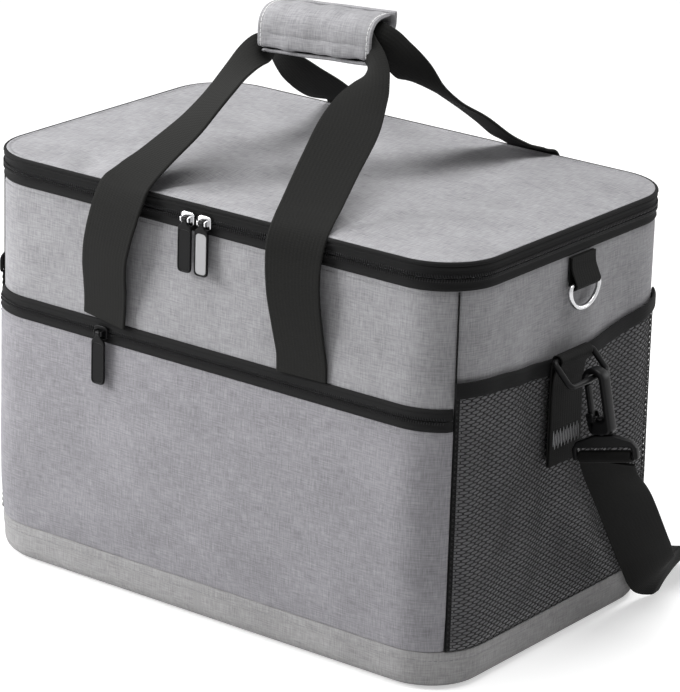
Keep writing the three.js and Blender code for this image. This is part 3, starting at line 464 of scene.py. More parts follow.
def piece(name, mesh, material, body, replaces=(), crease=38):
    """A shown mesh. body is one body's name, which it is attached to, or two bodies with two places, which
    are not used: the mesh is only fixed in place.
    """
    points, faces, cloth = mesh
    data = bpy.data.meshes.new(name)
    data.from_pydata((np.asarray(points) * MM).tolist(), [], faces)
    place = data.attributes.new("weave", "FLOAT_VECTOR", "POINT")
    place.data.foreach_set("vector", np.asarray(cloth, np.float32).ravel())
    data.materials.append(material)
    data.polygons.foreach_set("use_smooth", np.ones(len(data.polygons), bool))
    data.set_sharp_from_angle(angle=math.radians(crease))
    data.update()
    thing = bpy.data.objects.new(name, data)
    bpy.context.scene.collection.objects.link(thing)
    if isinstance(body, str):
        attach(thing, body)
    else:
        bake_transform(thing)
    if replaces:
        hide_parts(*replaces)
    return thing


# Materials. FLECK is how far the yarns of a webbing or tape differ in tone
FLECK = 0.25


def add(tree, kind, sockets=None, **settings):
    node = tree.nodes.new(kind)
    for key, value in settings.items():
        setattr(node, key, value)
    for key, value in (sockets or {}).items():
        if isinstance(value, bpy.types.NodeSocket):
            tree.links.new(value, node.inputs[key])
        else:
            node.inputs[key].default_value = value
    return node


def blank(name, colour, rough, metal=0.0, shine=0.5):
    material = bpy.data.materials.new(name)
    material.use_nodes = True
    tree = material.node_tree
    surface = tree.nodes["Principled BSDF"]
    surface.inputs["Base Color"].default_value = (*colour, 1)
    surface.inputs["Roughness"].default_value = rough
    surface.inputs["Metallic"].default_value = metal
    surface.inputs["Specular IOR Level"].default_value = shine
    return material, tree, surface


def maths(tree, operation, a, b=0.0):
    return add(tree, "ShaderNodeMath", {0: a, 1: b}, operation=operation).outputs[0]


def scaled(tree, place, scale):
    return add(tree, "ShaderNodeVectorMath", {0: place, 1: scale}, operation="MULTIPLY").outputs[0]


def cloth_place(tree, scale=(1, 1, 1)):
    source = add(tree, "ShaderNodeAttribute", attribute_name="weave")
    return scaled(tree, source.outputs["Vector"], scale)


def object_place(tree, scale):
    return scaled(tree, add(tree, "ShaderNodeTexCoord").outputs["Object"], (scale,) * 3)


def noise(tree, place, detail, rough=0.55):
    sockets = {"Vector": place, "Scale": 1.0, "Detail": detail, "Roughness": rough}
    return add(tree, "ShaderNodeTexNoise", sockets).outputs["Fac"]


def fit(tree, value, low, high, to_low, to_high):
    return add(tree, "ShaderNodeMapRange", {0: value, 1: low, 2: high, 3: to_low, 4: to_high}).outputs[0]


def mix_colour(tree, factor, dark, light):
    sockets = {0: factor, 6: (*dark, 1), 7: (*light, 1)}
    return add(tree, "ShaderNodeMix", sockets, data_type="RGBA").outputs[2]


def bump(tree, surface, height, strength, distance=0.0002):
    node = add(tree, "ShaderNodeBump", {"Strength": strength, "Distance": distance, "Height": height})
    tree.links.new(node.outputs[0], surface.inputs["Normal"])


def ridges(tree, axis, pitch):
    """Rounded ribs across one cloth coordinate, from 0 to 1."""
    parts = add(tree, "ShaderNodeSeparateXYZ", {0: cloth_place(tree)})
    turned = maths(tree, "MULTIPLY", parts.outputs[axis], 2 * math.pi / pitch)
    return maths(tree, "MULTIPLY_ADD", maths(tree, "SINE", turned), 0.5)


def heather(name, dark, light):
    """Cloth of mixed yarns: streaks both ways over slow blotches."""
    material, tree, surface = blank(name, light, 0.86, shine=0.3)
    fine_u = noise(tree, cloth_place(tree, (1.25, 0.11, 1)), 3)
    fine_v = noise(tree, cloth_place(tree, (0.09, 1.25, 1)), 3)
    blotch = noise(tree, cloth_place(tree, (0.022, 0.03, 1)), 3)
    streak = maths(tree, "ADD", fit(tree, fine_u, 0.3, 0.7, 0, 0.5), fit(tree, fine_v, 0.3, 0.7, 0, 0.5))
    amount = maths(tree, "ADD", streak, fit(tree, blotch, 0.35, 0.65, -0.1, 0.1))
    tree.links.new(mix_colour(tree, amount, dark, light), surface.inputs["Base Color"])
    weave = maths(tree, "ADD", ridges(tree, 0, 0.95), ridges(tree, 1, 0.95))
    slub = maths(tree, "MULTIPLY", streak, 1.6)
    bump(tree, surface, maths(tree, "ADD", weave, slub), 0.22, 0.00022)
    return material


def ribbed(name, colour, pitch, rough=0.7, strength=0.35):
    """Webbing, tape or cord with ribs at a pitch."""
    material, tree, surface = blank(name, colour, rough, shine=0.08)
    spread = noise(tree, cloth_place(tree, (1.1, 1.1, 1)), 3)
    light = tuple(c * (1 + FLECK) + 0.004 for c in colour)
    dark = tuple(c * (1 - FLECK) for c in colour)
    tree.links.new(mix_colour(tree, spread, dark, light), surface.inputs["Base Color"])
    ribs = maths(tree, "ADD", ridges(tree, 1, pitch), ridges(tree, 0, pitch * 1.7))
    bump(tree, surface, maths(tree, "ADD", ribs, spread), strength)
    return material


def grained(name, colour, rough, metal=0.0, shine=0.5, grain=0.08, size=900, detail=3, deep=0.0002):
    """A plain surface with fine grain."""
    material, tree, surface = blank(name, colour, rough, metal, shine)
    bump(tree, surface, noise(tree, object_place(tree, size), detail), grain, deep)
    return material


def thread(name, colour):
    return grained(name, colour, 0.75, grain=0.2, size=2600, detail=2, deep=0.0001)


def film(name, colour):
    """Thin creased foil."""
    material, tree, surface = blank(name, colour, 0.34, 0.35)
    bump(tree, surface, noise(tree, cloth_place(tree, (0.045, 0.045, 0.045)), 4, 0.6), 0.35, 0.002)
    return material


CLOTH = heather("heather_cloth", (0.222, 0.220, 0.231), (0.460, 0.456, 0.472))
POCKET_CLOTH = heather("heather_pocket", (0.198, 0.194, 0.209), (0.415, 0.407, 0.433))
# Base cloth: the body's cloth, slightly warmer and lighter; the lighter tone is painted light from the
# floor's bounce
BASE_CLOTH_PAINTED_BOUNCE = heather("heather_base_painted_bounce", (0.245, 0.241, 0.243), (0.485, 0.479, 0.481))
WEBBING = ribbed("webbing", (0.0150, 0.0150, 0.0143), 1.5)
STRAP = ribbed("strap_webbing", (0.0062, 0.0062, 0.0060), 1.5)
TAPE = ribbed("zip_tape", (0.0145, 0.0145, 0.0148), 0.9, rough=0.75, strength=0.25)
ELASTIC = ribbed("elastic_binding", (0.0085, 0.0085, 0.0088), 1.2, strength=0.4)
NET = ribbed("net", (0.036, 0.036, 0.0363), 0.8, strength=0.3)
HOOK_LOOP = ribbed("hook_and_loop", (0.010, 0.010, 0.010), 0.7, rough=0.95, strength=0.7)
FOAM = grained("foam", (0.83, 0.82, 0.79), 0.9, grain=0.3, size=600, detail=4, deep=0.0004)
BOARD = grained("stiffener", (0.02, 0.02, 0.02), 0.6)
LINER = film("liner", (0.58, 0.59, 0.61))
CHROME = grained("chrome_hardware", (0.56, 0.56, 0.57), 0.22, metal=1.0, grain=0.04)
PLASTIC = grained("black_plastic", (0.006, 0.006, 0.0064), 0.34, shine=0.12)
COIL = grained("zip_coil", (0.012, 0.012, 0.013), 0.4, shine=0.2)
# Grey puller face: painted reflection. The pullers are black plastic; this lighter face stands for light
# caught in the recess
REFLECTION_FACE_PAINTED = grained("puller_face", (0.40, 0.40, 0.41), 0.45)
WHITE_THREAD = thread("white_thread", (0.80, 0.80, 0.80))
GREY_THREAD = thread("grey_thread", (0.30, 0.30, 0.31))

# Body panels
WALL_T, POCKET_T, POCKET_FOOT_OFF = 1.6, 1.4, 1.5
SEAM_EASE, POCKET_EASE = 0.25, 1.2


def wall_piece(name, s_range, z_range, offs, thick, node, look, dips):
    """A wall's cloth: how far its foot and head stand out, and how deep its sides, foot and head sink."""
    s, z = spaced(*s_range, 5.0), spaced(*z_range, 5.0)
    grid_s, grid_z = np.meshgrid(s, z, indexing="ij")
    off = offs[0] + (offs[1] - offs[0]) * smooth(grid_z, RIM_TOP, RIM_TOP + 34)
    off = off + dip(np.minimum(grid_s - s[0], s[-1] - grid_s), dips[0])
    off = off + dip(grid_z - z[0], dips[1]) + dip(z[-1] - grid_z, dips[2])
    mesh = sheet(skin(grid_s, grid_z, off), thick, grid_s, grid_z)
    piece(name, mesh, look, "bag", (node,))


for side, start, end, top, node in (
    ("front", -SEAM_F, SEAM_F, PANEL_TOP, "front_panel"),
    ("right", SEAM_F, SEAM_B, PANEL_TOP, "right_side_panel"),
    ("left", -SEAM_B, -SEAM_F, PANEL_TOP, "left_side_panel"),
    ("back", SEAM_B, AROUND - SEAM_B, BACK_TOP, "back_panel"),
):
    wall_piece(f"{side}_cloth", (start + SEAM_EASE, end - SEAM_EASE), (RIM_TOP + 0.3, top), (0, 0), WALL_T,
               node, CLOTH, (0.9, 0.6, 0.5))
wall_piece("pocket_cloth", (-SEAM_F + POCKET_EASE, SEAM_F - POCKET_EASE), (RIM_TOP + 0.6, POCKET_TOP),
           (POCKET_FOOT_OFF, POCKET_OFF), POCKET_T, "pocket_panel", POCKET_CLOTH,
           (1.3, 0.7, 0.3))


# Base: a tray whose upturned rim ends in a folded hem
def ring_steps():
    """Distances round the whole outline, closer together in the corners."""
    half_round = [(LONG / 2, 24), (QUARTER, 14), (SHORT, 26), (QUARTER, 14)]
    parts, start = [], 0.0
    for length, count in half_round + [(LONG, 48)] + half_round[:0:-1] + half_round[:1]:
        parts.append(start + np.linspace(0, length, count, endpoint=False))
        start += length
    return np.concatenate(parts)


RING_S = ring_steps()


def ring_mesh(profile):
    """A body of rings within the outline. Each profile row is inset, z."""
    levels, cloth, gone = [], [], 0.0
    for i, (inset, z) in enumerate(profile):
        if i:
            gone += math.dist(profile[i - 1], profile[i])
        levels.append(wall(RING_S, z, -inset))
        cloth.append(np.stack([RING_S, np.full(len(RING_S), gone), 0 * RING_S], axis=1))
    return np.concatenate(levels), hoops(len(levels), len(RING_S)), np.concatenate(cloth)


BASE_R = 10.0
bottom = [(40, 0.35), (24, 0.3), (13, 0.15)]
bottom += [(BASE_R + u, BASE_R + 0.05 + v) for u, v in arc(0, 0, BASE_R, -90, -180, 6)]
hem = [(-0.2, 14.6), (-0.5, 18.6), (-0.8, 21.5), (-1.0, 24.4), (-1.1, 25.8), (-0.9, 26.7), (-0.4, 27.1),
       (0.4, 27.0), (1.2, 26.2), (1.6, 24.0), (1.6, 12.0)]
inside = [(4.5, 6.0), (11.0, 2.2), (40, 2.0)]
# The base's lighter cloth is painted bounce light
piece("base_cloth", ring_mesh(bottom + hem + inside), BASE_CLOTH_PAINTED_BOUNCE, "bag", ("base_tray",))

# Zip tapes round the mouth, with folded edges and a bead over the coil
ZIP_START, ZIP_END = -SEAM_B + 0.4, SEAM_B - 0.4
MOUTH_TAPE_T, POCKET_TAPE_T = 1.1, 0.9
MOUTH_TOOTH, POCKET_TOOTH, TOOTH_LEAN = (2.5, 0.95, 1.1), (2.1, 0.9, 0.9), 0.25


def mouth_tape(name, low, high, body, node):
    s = np.linspace(ZIP_START, ZIP_END, 260)
    z = np.concatenate([[low], np.linspace(low + 0.4, high - 0.4, 13), [high]])
    grid_s, grid_z = np.meshgrid(s, z, indexing="ij")
    folds = bell(grid_z, BODY_TAPE_LOW + 1.2, 1.0) + bell(grid_z, LID_TAPE_HIGH - 1.2, 1.0)
    grid = wall(grid_s, grid_z, 0.1 + 0.75 * folds + 0.5 * bell(grid_z, CHAIN_Z, 2.4))
    piece(name, sheet(grid, MOUTH_TAPE_T, grid_z, grid_s), TAPE, body, (node,))


def teeth(name, s, z, off, body, lean, size):
    out, tangent = facing(s)
    along = np.array([0, 0, 1.0]) + tangent * lean
    piece(name, scatter(wall(s, z, off), along, out, *size), COIL, body)


mouth_tape("mouth_tape", BODY_TAPE_LOW, BODY_TAPE_HIGH, "bag", "body_zip_tape")
mouth_tape("lid_tape", LID_TAPE_LOW, LID_TAPE_HIGH, "lid", "lid_zip_tape")
run = np.linspace(ZIP_START + 2, ZIP_END - 2, int((ZIP_END - ZIP_START - 4) / 1.7))
teeth("mouth_teeth", run, CHAIN_Z - 1.5, 0.75, "bag", TOOTH_LEAN, MOUTH_TOOTH)
teeth("lid_teeth", run + 0.85, CHAIN_Z + 1.5, 0.75, "lid", -TOOTH_LEAN, MOUTH_TOOTH)

# Pocket zip: two tapes stepping from the pocket up to the front panel
POCKET_S = SEAM_F - 1.4


def pocket_tape(name, low, high, node):
    s = spaced(-POCKET_S, POCKET_S, 5.0)
    z = np.concatenate([[low], np.linspace(low + 0.35, high - 0.35, 11), [high]])
    grid_s, grid_z = np.meshgrid(s, z, indexing="ij")
    step = POCKET_OFF - 1.9 * smooth(grid_z, POCKET_CHAIN_Z + 1.5, POCKET_ZIP_HIGH - 0.6)
    ridge = 0.6 * bell(grid_z, POCKET_ZIP_LOW + 1.3, 1.0) + 0.8 * bell(grid_z, POCKET_ZIP_HIGH - 1.6, 1.1)
    sides = dip(np.minimum(grid_s - s[0], s[-1] - grid_s), 1.0)
    grid = skin(grid_s, grid_z, step + ridge + sides - 0.1)
    piece(name, sheet(grid, POCKET_TAPE_T, grid_z, grid_s), TAPE, "bag", (node,))


pocket_tape("pocket_tape_low", POCKET_ZIP_LOW, POCKET_CHAIN_Z - 0.5, "pocket_zip_tape_low")
pocket_tape("pocket_tape_high", POCKET_CHAIN_Z + 0.5, POCKET_ZIP_HIGH, "pocket_zip_tape_high")
run = np.linspace(-POCKET_S + 6, POCKET_S - 6, int(2 * (POCKET_S - 6) / 1.6))
tooth_off = POCKET_OFF + 0.2
teeth("pocket_teeth_low", run, POCKET_CHAIN_Z - 1.3, tooth_off, "bag", TOOTH_LEAN, POCKET_TOOTH)
teeth("pocket_teeth_high", run + 0.8, POCKET_CHAIN_Z + 1.3, tooth_off, "bag", -TOOTH_LEAN, POCKET_TOOTH)

# Lid: soft crown with a rolled edge and slow ripples. Creases run back over it from the feet of the front
# handle, each a line of [x, y] places with its depth and width
LID_CLOTH_Z, LID_UNDER_Z = LID_EDGE + 1.3, LID_EDGE - 0.25
LID_CREASES = (
    (((-54, -122), (-50, -106), (-40, -85), (-20, -62), (2, -42)), 3.2, 8.0),
    (((85, -120), (89, -98), (98, -80), (113, -61), (130, -34)), 3.2, 8.0),
    (((-112, -121), (-124, -96), (-142, -72)), 1.8, 8.0),
)
LID_RIM = [(0.0, -1.2), (0.25, -0.1), (0.9, 0.75), (1.9, 1.1), (2.9, 0.95), (3.6, 0.35), (4.4, 0.15),
           (5.4, 0.35)]
LID_INSETS = [7, 9.5, 12.5, 16, 20, 24, 28, 32, 36, 41, 47, 54, 62, 71, 81, 92, 103, 113, 121]


def lid_ring(inset):
    radius = max(CORNER_R - inset, 5.0)
    wide, deep = HALF_W - inset - radius, HALF_D - inset - radius
    corners = ((wide, -deep), (wide, deep), (-wide, deep), (-wide, -deep))
    parts = [np.array(arc(x, y, radius, 90 * i - 90, 90 * i, 12)) for i, (x, y) in enumerate(corners)]
    sides = []
    for i, part in enumerate(parts):
        steps = 60 if i % 2 else 34
        t = np.linspace(0, 1, steps + 1)[1:-1, None]
        sides.extend([part, part[-1] * (1 - t) + parts[(i + 1) % 4][0] * t])
    return np.concatenate(sides)


def crease(x, y, points, width):
    """Depth of a valley along a line, with raised shoulders, fading towards its far end."""
    best = np.full(x.shape, 1e9)
    along = np.zeros(x.shape)
    for i in range(len(points) - 1):
        start = np.array(points[i], float)
        step = np.array(points[i + 1], float) - start
        t = np.clip(((x - start[0]) * step[0] + (y - start[1]) * step[1]) / (step @ step), 0, 1)
        gap = np.hypot(x - start[0] - t * step[0], y - start[1] - t * step[1])
        nearer = gap < best
        best = np.where(nearer, gap, best)
        along = np.where(nearer, (i + t) / (len(points) - 1), along)
    valley = bell(best, 0, width) - 0.45 * bell(best, 2.1 * width, width)
    return valley * (1 - along ** 2)


def lid_rise(inset):
    """A ring of places on the lid, and how far the cloth rises at each."""
    x, y = lid_ring(inset).T
    rise = (3.4 - 3.0 * smooth(y - 0.25 * x, 40, 150)) * (1 - np.exp(-inset / 26.0))
    for points, depth, width in LID_CREASES:
        rise = rise - depth * crease(x, y, points, width)
    rise = rise + 0.9 * bell(y + HALF_D, 12, 8)
    ripple = wave(x, y, [(0.5, 170, 240, 0.3), (0.4, 90, -130, 2.1), (0.25, 54, 75, 1.2)])
    return x, y, rise + smooth(inset, 3, 24) * ripple


def lid_mesh():
    levels = []
    for inset in (121, 60, 8, 1.4):
        x, y, rise = lid_rise(inset)
        levels.append((x, y, LID_UNDER_Z + np.maximum(rise - 0.4, 0) * smooth(inset, 1.4, 20)))
    for i, (inset, edge) in enumerate(LID_RIM):
        x, y, rise = lid_rise(inset)
        levels.append((x, y, LID_CLOTH_Z + (edge + rise * i / len(LID_RIM))))
    for inset in LID_INSETS:
        x, y, rise = lid_rise(inset)
        levels.append((x, y, LID_CLOTH_Z + rise))
    points = np.concatenate([np.stack(level, axis=1) for level in levels])
    return points, hoops(len(levels), len(x)), points * np.array([1, 1, 0])


lid = piece("lid_cloth", lid_mesh(), CLOTH, "lid", ("lid_panel",))
rim = lid_ring(0.3)
rim = np.column_stack([rim, np.full(len(rim), LID_EDGE + 0.9)])
piece("lid_piping", sweep(rim, (0, 0, 1), circle(1.5, 12), closed=True), TAPE, "lid")

# Linings: a tray in the lid and a tub, open at the top, with a flange under the mouth
TRAY_LOW, TRAY_TOP = 275.2, 288.4
tray = [(40, 0.1), (16, 0), (8, 0.1), (5.6, 0.8), (4.72, 2.2), (4.7, TRAY_TOP - TRAY_LOW),
        (4.9, TRAY_TOP - TRAY_LOW + 0.1), (4.92, 2.3), (5.8, 1.1), (8.2, 0.4), (16, 0.3), (40, 0.4)]
tray = [(inset, TRAY_LOW + rise) for inset, rise in tray]
piece("lid_lining", ring_mesh(tray), LINER, "lid", ("lid_liner",))
TUB_FLOOR, TUB_MOUTH = 12.3, 271.2
tub = [(inset, TUB_FLOOR + rise) for inset, rise in ((40, 0), (20, 0), (14, 0.4), (10.2, 2.4), (8.6, 6))]
tub += [(8.4, 40), (8.4, TUB_MOUTH - 1.3), (2.2, TUB_MOUTH - 0.8), (2.2, TUB_MOUTH), (8.9, TUB_MOUTH),
        (9.4, TUB_MOUTH - 0.8), (9.4, 40)]
inner_foot = ((9.7, 6.4), (11.2, 3.2), (14.8, 1.4), (20, 1), (40, 1))
tub += [(inset, TUB_FLOOR + rise) for inset, rise in inner_foot]
piece("tub_lining", ring_mesh(tub), LINER, "bag", ("liner_tub",))

# Stiffener and foams are shown by the frame's own solids
for node, look in (("base_board", BOARD), ("base_foam", FOAM), ("wall_foam", FOAM), ("lid_foam", FOAM)):
    shape = frame["nodes"][node].data
    shape.materials.clear()
    shape.materials.append(look)

# Hinge strip of cloth round the back, between bag and lid
s = np.linspace(SEAM_B + 0.6, AROUND - SEAM_B - 0.6, 110)
z = np.linspace(BACK_TOP - 2.5, LID_EDGE + 0.6, 13)
grid_s, grid_z = np.meshgrid(s, z, indexing="ij")
grid = wall(grid_s, grid_z, 0.5 + 0.5 * bell(grid_z, CHAIN_Z + 1, 3))
hinge_bend = ("bag", "lid", (0, HALF_D, CHAIN_Z - 1.5), (0, HALF_D, CHAIN_Z + 4))
hinge = piece("hinge_cloth", sheet(grid, 0.8, grid_s, grid_z), CLOTH, hinge_bend,
              ("lid_hinge_strip",))

# Side nets: hexagon mesh with real holes, gathered under an elastic binding
CELL_W, CELL_H, CELL_HOLE, CORD_T = 6.7, 2.05, 0.8, 0.5


def net_off(s, z):
    """How far the net stands out: slack between its ends, held down under the strap's anchor."""
    from_mid = np.abs(s) - SIDE_MID
    rise = np.clip((z - NET_FOOT) / (NET_TOP - NET_FOOT), 0, 1)
    held = bell(from_mid, ANCHOR_Y, 30) * smooth(z, 105, 140)
    slack = np.sin(np.pi * rise) * (2.2 + wave(s, z, [(1.5, 66, 500, 0.5), (0.9, 37, -300, 2.0)]))
    ends = 1 - smooth(np.abs(from_mid), 92, 116)
    return 1.5 + np.maximum(slack * (1 - 0.85 * held), 0) * ends


def net_line(s):
    """Height of the net's upper edge."""
    t = np.clip((np.abs(s) - SEAM_F) / (SEAM_B - SEAM_F), 0, 1)
    return NET_TOP - 7 * (1 - t) - (NET_SAG + 1) * np.sin(np.pi * t) ** 2


def net_mesh(sign):
    half, third = CELL_W / 2, CELL_H / 3
    corners = [(0, -2 * third), (half, -third), (half, third),
               (0, 2 * third), (-half, third), (-half, -third)]
    index, flat, faces = {}, [], []

    def shared(a, b):
        key = (round(a * 20), round(b * 20))
        if key not in index:
            index[key] = len(flat)
            flat.append((a, b))
        return index[key]

    for row, z in enumerate(np.arange(NET_FOOT - 2, NET_TOP + 4, CELL_H)):
        for s in np.arange(SEAM_F + 3.9 + row % 2 * half, SEAM_B - 3.0, CELL_W):
            if z < net_line(s) + 3:
                outer = [shared(s + a, z + b) for a, b in corners]
                inner = list(range(len(flat), len(flat) + 6))
                flat.extend((s + a * CELL_HOLE, z + b * CELL_HOLE) for a, b in corners)
                for k in range(6):
                    n = (k + 1) % 6
                    faces.append([outer[k], outer[n], inner[n], inner[k]][::sign])
    flat = np.array(flat)
    size = len(flat)
    around, height = flat.T
    off = net_off(around, height)
    points = [skin(sign * around, height, off + CORD_T), skin(sign * around, height, off)]
    edges = dict.fromkeys((a, f[(i + 1) % 4]) for f in faces for i, a in enumerate(f))
    back_faces = [[i + size for i in f[::-1]] for f in faces]
    rims = [[b, a, a + size, b + size] for a, b in edges if (b, a) not in edges]
    cloth = np.column_stack([flat, np.zeros(size)])
    return np.concatenate(points), faces + back_faces + rims, np.concatenate([cloth, cloth])


for side, sign in SIDES:
    net = piece(f"{side}_net_mesh", net_mesh(sign), NET, "bag", (f"{side}_net",), crease=60)
    around = np.linspace(SEAM_F - 0.5, SEAM_B + 0.5, 90)
    height = net_line(around) + BINDING_H / 2 + 0.2
    path = skin(sign * around, height, net_off(around, height) + 0.9)
    ribbon = sweep(path, (0, 0, -sign), strip(BINDING_H, 2.4, 13))
    piece(f"{side}_binding", ribbon, ELASTIC, "bag", (f"{side}_net_binding",))
    for end, at, top, wide, off in (("front", SEAM_F, PANEL_TOP - 0.5, 1.1, -0.15),
                                    ("net", SEAM_F + 1.4, NET_TOP - 6, 3.0, 1.0),
                                    ("rear", SEAM_B, NET_TOP + 6, 4.0, 1.0)):
        at = np.full(60, sign * at)
        edge = skin(at, np.linspace(RIM_TOP + 1, top, 60), off)
        piping = sweep(edge, -facing(at)[1], strip(wide, 1.4))
        piece(f"{side}_{end}_piping", piping, ELASTIC, "bag")


# Carry handles: each leg leaves its seam, stands off the body, leans over the lid and gathers into the grip
def run_z(x):
    """Height of the webbing in the grip, which hangs lower at its left end."""
    return GRIP_Z + 0.4 + GRIP_TILT * (x - GRIP_HIGH_X)


FRONT_RUN, REAR_RUN = GRIP_Y - RUN_PITCH / 2 + 0.4, GRIP_Y + RUN_PITCH / 2 - 1.2
TAIL_Z = POCKET_ZIP_HIGH + 0.8
IN_GRIP = (0, -0.25, -0.97)
REAR_X = 83.0
REAR_TAIL = ((129.8, TAIL_Z), (130.4, 207), (132.2, 220), (134.2, 233), (135.2, 246))
# Rows of place, across and, where the webbing is gathered, its width, from tail to grip
FRONT_LEFT = [
    [-85.5, -129.8, TAIL_Z, 0.99, -0.13, 0],
    [-84.6, -130.4, 207, 0.99, -0.12, 0],
    [-82.8, -133.0, 220, 0.99, -0.10, 0],
    [-80.6, -136.4, 233, 0.99, -0.09, 0],
    [-78.2, -138.4, 246, 1, -0.08, 0],
    [-75.3, -138.8, 258, 1, -0.05, 0],
    [-72.0, -138.4, 270, 1, -0.03, 0],
    [-68.8, -137.2, 281, 1, 0, 0],
    [-66.0, -132.6, 293, 1, 0, 0],
    [-63.2, -122.0, 301.5, 0.98, -0.18, 0],
    [-59.8, -109.0, 309.5, 0.93, -0.37, 0],
    [-53.6, -82.5, 326.0, 0.84, -0.54, 0],
    [-50.0, -59.0, 342.5, 0.92, -0.27, 0.3, 39],
    [-50.5, -43.0, 351.0, 0.92, -0.2, 0.25, 34],
    [-50.6, -27.5, 358.8, 0.93, 0.1, 0.1, 28],
    [-49.6, -15.5, 365.2, 0.8, 0.45, -0.3, 22],
    [-46.0, -8.6, 371.8, 0.45, 0.7, -0.55, 18],
    [-40.0, -9.0, 378.0, 0.2, 0.3, -0.9, 18],
    [-31.0, -12.0, 383.0, 0.1, -0.1, -0.97, 20],
    [-20.0, FRONT_RUN, run_z(-20), *IN_GRIP, 21],
    [-8.0, FRONT_RUN, run_z(-8), *IN_GRIP, 21],
]
FRONT_RIGHT = [
    [81.5, -129.8, TAIL_Z, -1, -0.03, 0],
    [81.4, -130.4, 207, -1, -0.03, 0],
    [81.0, -133.2, 220, -1, -0.05, 0],
    [80.6, -136.2, 234, -0.995, -0.08, 0],
    [79.8, -138.2, 247, -0.99, -0.11, 0],
    [79.0, -138.8, 260, -0.99, -0.14, 0],
    [78.5, -138.3, 272, -0.98, -0.18, 0],
    [78.8, -136.9, 284, -0.97, -0.25, 0],
    [78.6, -132.8, 292.5, -0.95, -0.3, 0],
    [76.8, -125.0, 299, -0.92, -0.38, 0],
    [74.4, -115.0, 305.5, -0.88, -0.46, 0],
    [68.0, -88.0, 324.5, -0.82, -0.57, 0],
    [62.8, -61.0, 344.0, -0.80, -0.60, 0],
    [60.0, -47.0, 353.5, -0.82, -0.55, 0.0, 35],
    [58.4, -34.0, 362.5, -0.85, -0.45, -0.1, 27],
    [56.2, -24.0, 369.8, -0.78, -0.35, -0.45, 19],
    [51.0, -17.6, 376.8, -0.45, -0.25, -0.85, 16],
    [42.5, -14.8, 383.0, -0.15, -0.2, -0.95, 17],
    [32.0, FRONT_RUN, run_z(32), *IN_GRIP, 19],
    [20.0, FRONT_RUN, run_z(20), *IN_GRIP, 20],
    [8.0, FRONT_RUN, run_z(8), *IN_GRIP, 21],
]
REAR_LEFT = [[-REAR_X, y, z, 1, 0, 0] for y, z in REAR_TAIL] + [
    [-82.8, 135.2, 260, 1, 0, 0],
    [-82.0, 134.4, 275, 1, 0, 0],
    [-80.0, 131.6, 289, 1, 0.05, 0],
    [-74.5, 121.0, 298, 1, 0.1, 0],
    [-62.0, 95.0, 306.5, 0.97, 0.2, 0.05],
    [-48.0, 63.0, 320.0, 0.93, 0.28, 0.1],
    [-43.5, 42.0, 332.0, 0.93, 0.26, 0.15, 39],
    [-44.5, 26.0, 343.0, 0.92, 0.2, 0.15, 34],
    [-47.5, 14.0, 355.0, 0.9, 0.1, 0.0, 28],
    [-50.0, 5.0, 367.0, 0.8, -0.2, -0.3, 24],
    [-47.5, -2.0, 377.0, 0.4, -0.3, -0.8, 22],
    [-40.0, -5.6, 382.5, 0.05, -0.2, -0.97, 21],
    [-29.0, REAR_RUN, run_z(-29), *IN_GRIP, 21],
    [-15.0, REAR_RUN, run_z(-15), *IN_GRIP, 21],
]
REAR_RIGHT = [[REAR_X, y, z, -1, 0, 0] for y, z in REAR_TAIL] + [
    [83.0, 135.2, 260, -1, 0, 0],
    [82.6, 134.2, 275, -1, 0, 0],
    [80.6, 131.8, 284, -1, 0, 0],
    [79.2, 129.6, 290.5, -1, 0, 0],
    [76.6, 122.0, 295.0, -1, 0.03, 0],
    [73.0, 110.5, 300.5, -0.99, 0.1, 0.05],
    [69.2, 95.0, 311.0, -0.975, 0.2, 0.1],
    [65.5, 68.0, 329.5, -0.96, 0.27, 0.05, 39],
    [62.4, 42.0, 345.0, -0.95, 0.25, 0.08, 35],
    [61.0, 24.0, 356.5, -0.95, 0.05, -0.05, 30],
    [58.5, 11.0, 367.5, -0.8, -0.3, -0.45, 26],
    [54.0, 1.5, 378.0, -0.4, -0.25, -0.85, 23],
    [48.0, -4.6, 387.0, -0.1, -0.15, -0.98, 21],
    [36.0, REAR_RUN, run_z(36), *IN_GRIP, 21],
    [22.0, REAR_RUN, run_z(22), *IN_GRIP, 21],
    [8.0, REAR_RUN, run_z(8), *IN_GRIP, 21],
]
# Height at which the webbing is split, heights of the places given with the legs' and loop's two bodies,
# and the stand-off of the loop's places
MID_LEG, FOLD, LOOP_BEND, BEND_Y = 258.0, (215, 229), (286, 304), 140


def web_mesh(rows):
    sections = np.array([band(width, WEB_T, 0.18 * (width - WEB_W)) for width in rows[:, 6]])
    return sweep(rows[:, :3], rows[:, 3:6], sections)


HANDLES = (("front", -1, FRONT_LEFT, FRONT_RIGHT), ("rear", 1, REAR_LEFT, REAR_RIGHT))
for which, side, left, right in HANDLES:
    line = spline([row if len(row) == 7 else [*row, WEB_W] for row in left + right[::-1]], 330)
    above = np.nonzero(line[:, 2] > MID_LEG)[0]
    first, last = above[0], above[-1]
    leg_bend = ("bag", f"{which}_handle", *((0, side * HALF_D, z) for z in FOLD))
    for end, part in (("left", line[:first + 1]), ("right", line[last:])):
        piece(f"{which}_{end}_leg_web", web_mesh(part), WEBBING, leg_bend,
              (f"{which}_handle_tail_{end}", f"{which}_handle_leg_{end}"))
    loop_bend = (f"{which}_handle", f"{which}_loop", *((0, side * BEND_Y, z) for z in LOOP_BEND))
    piece(f"{which}_loop_web", web_mesh(line[first:last + 1]), WEBBING, loop_bend,
          (f"{which}_handle_loop",))

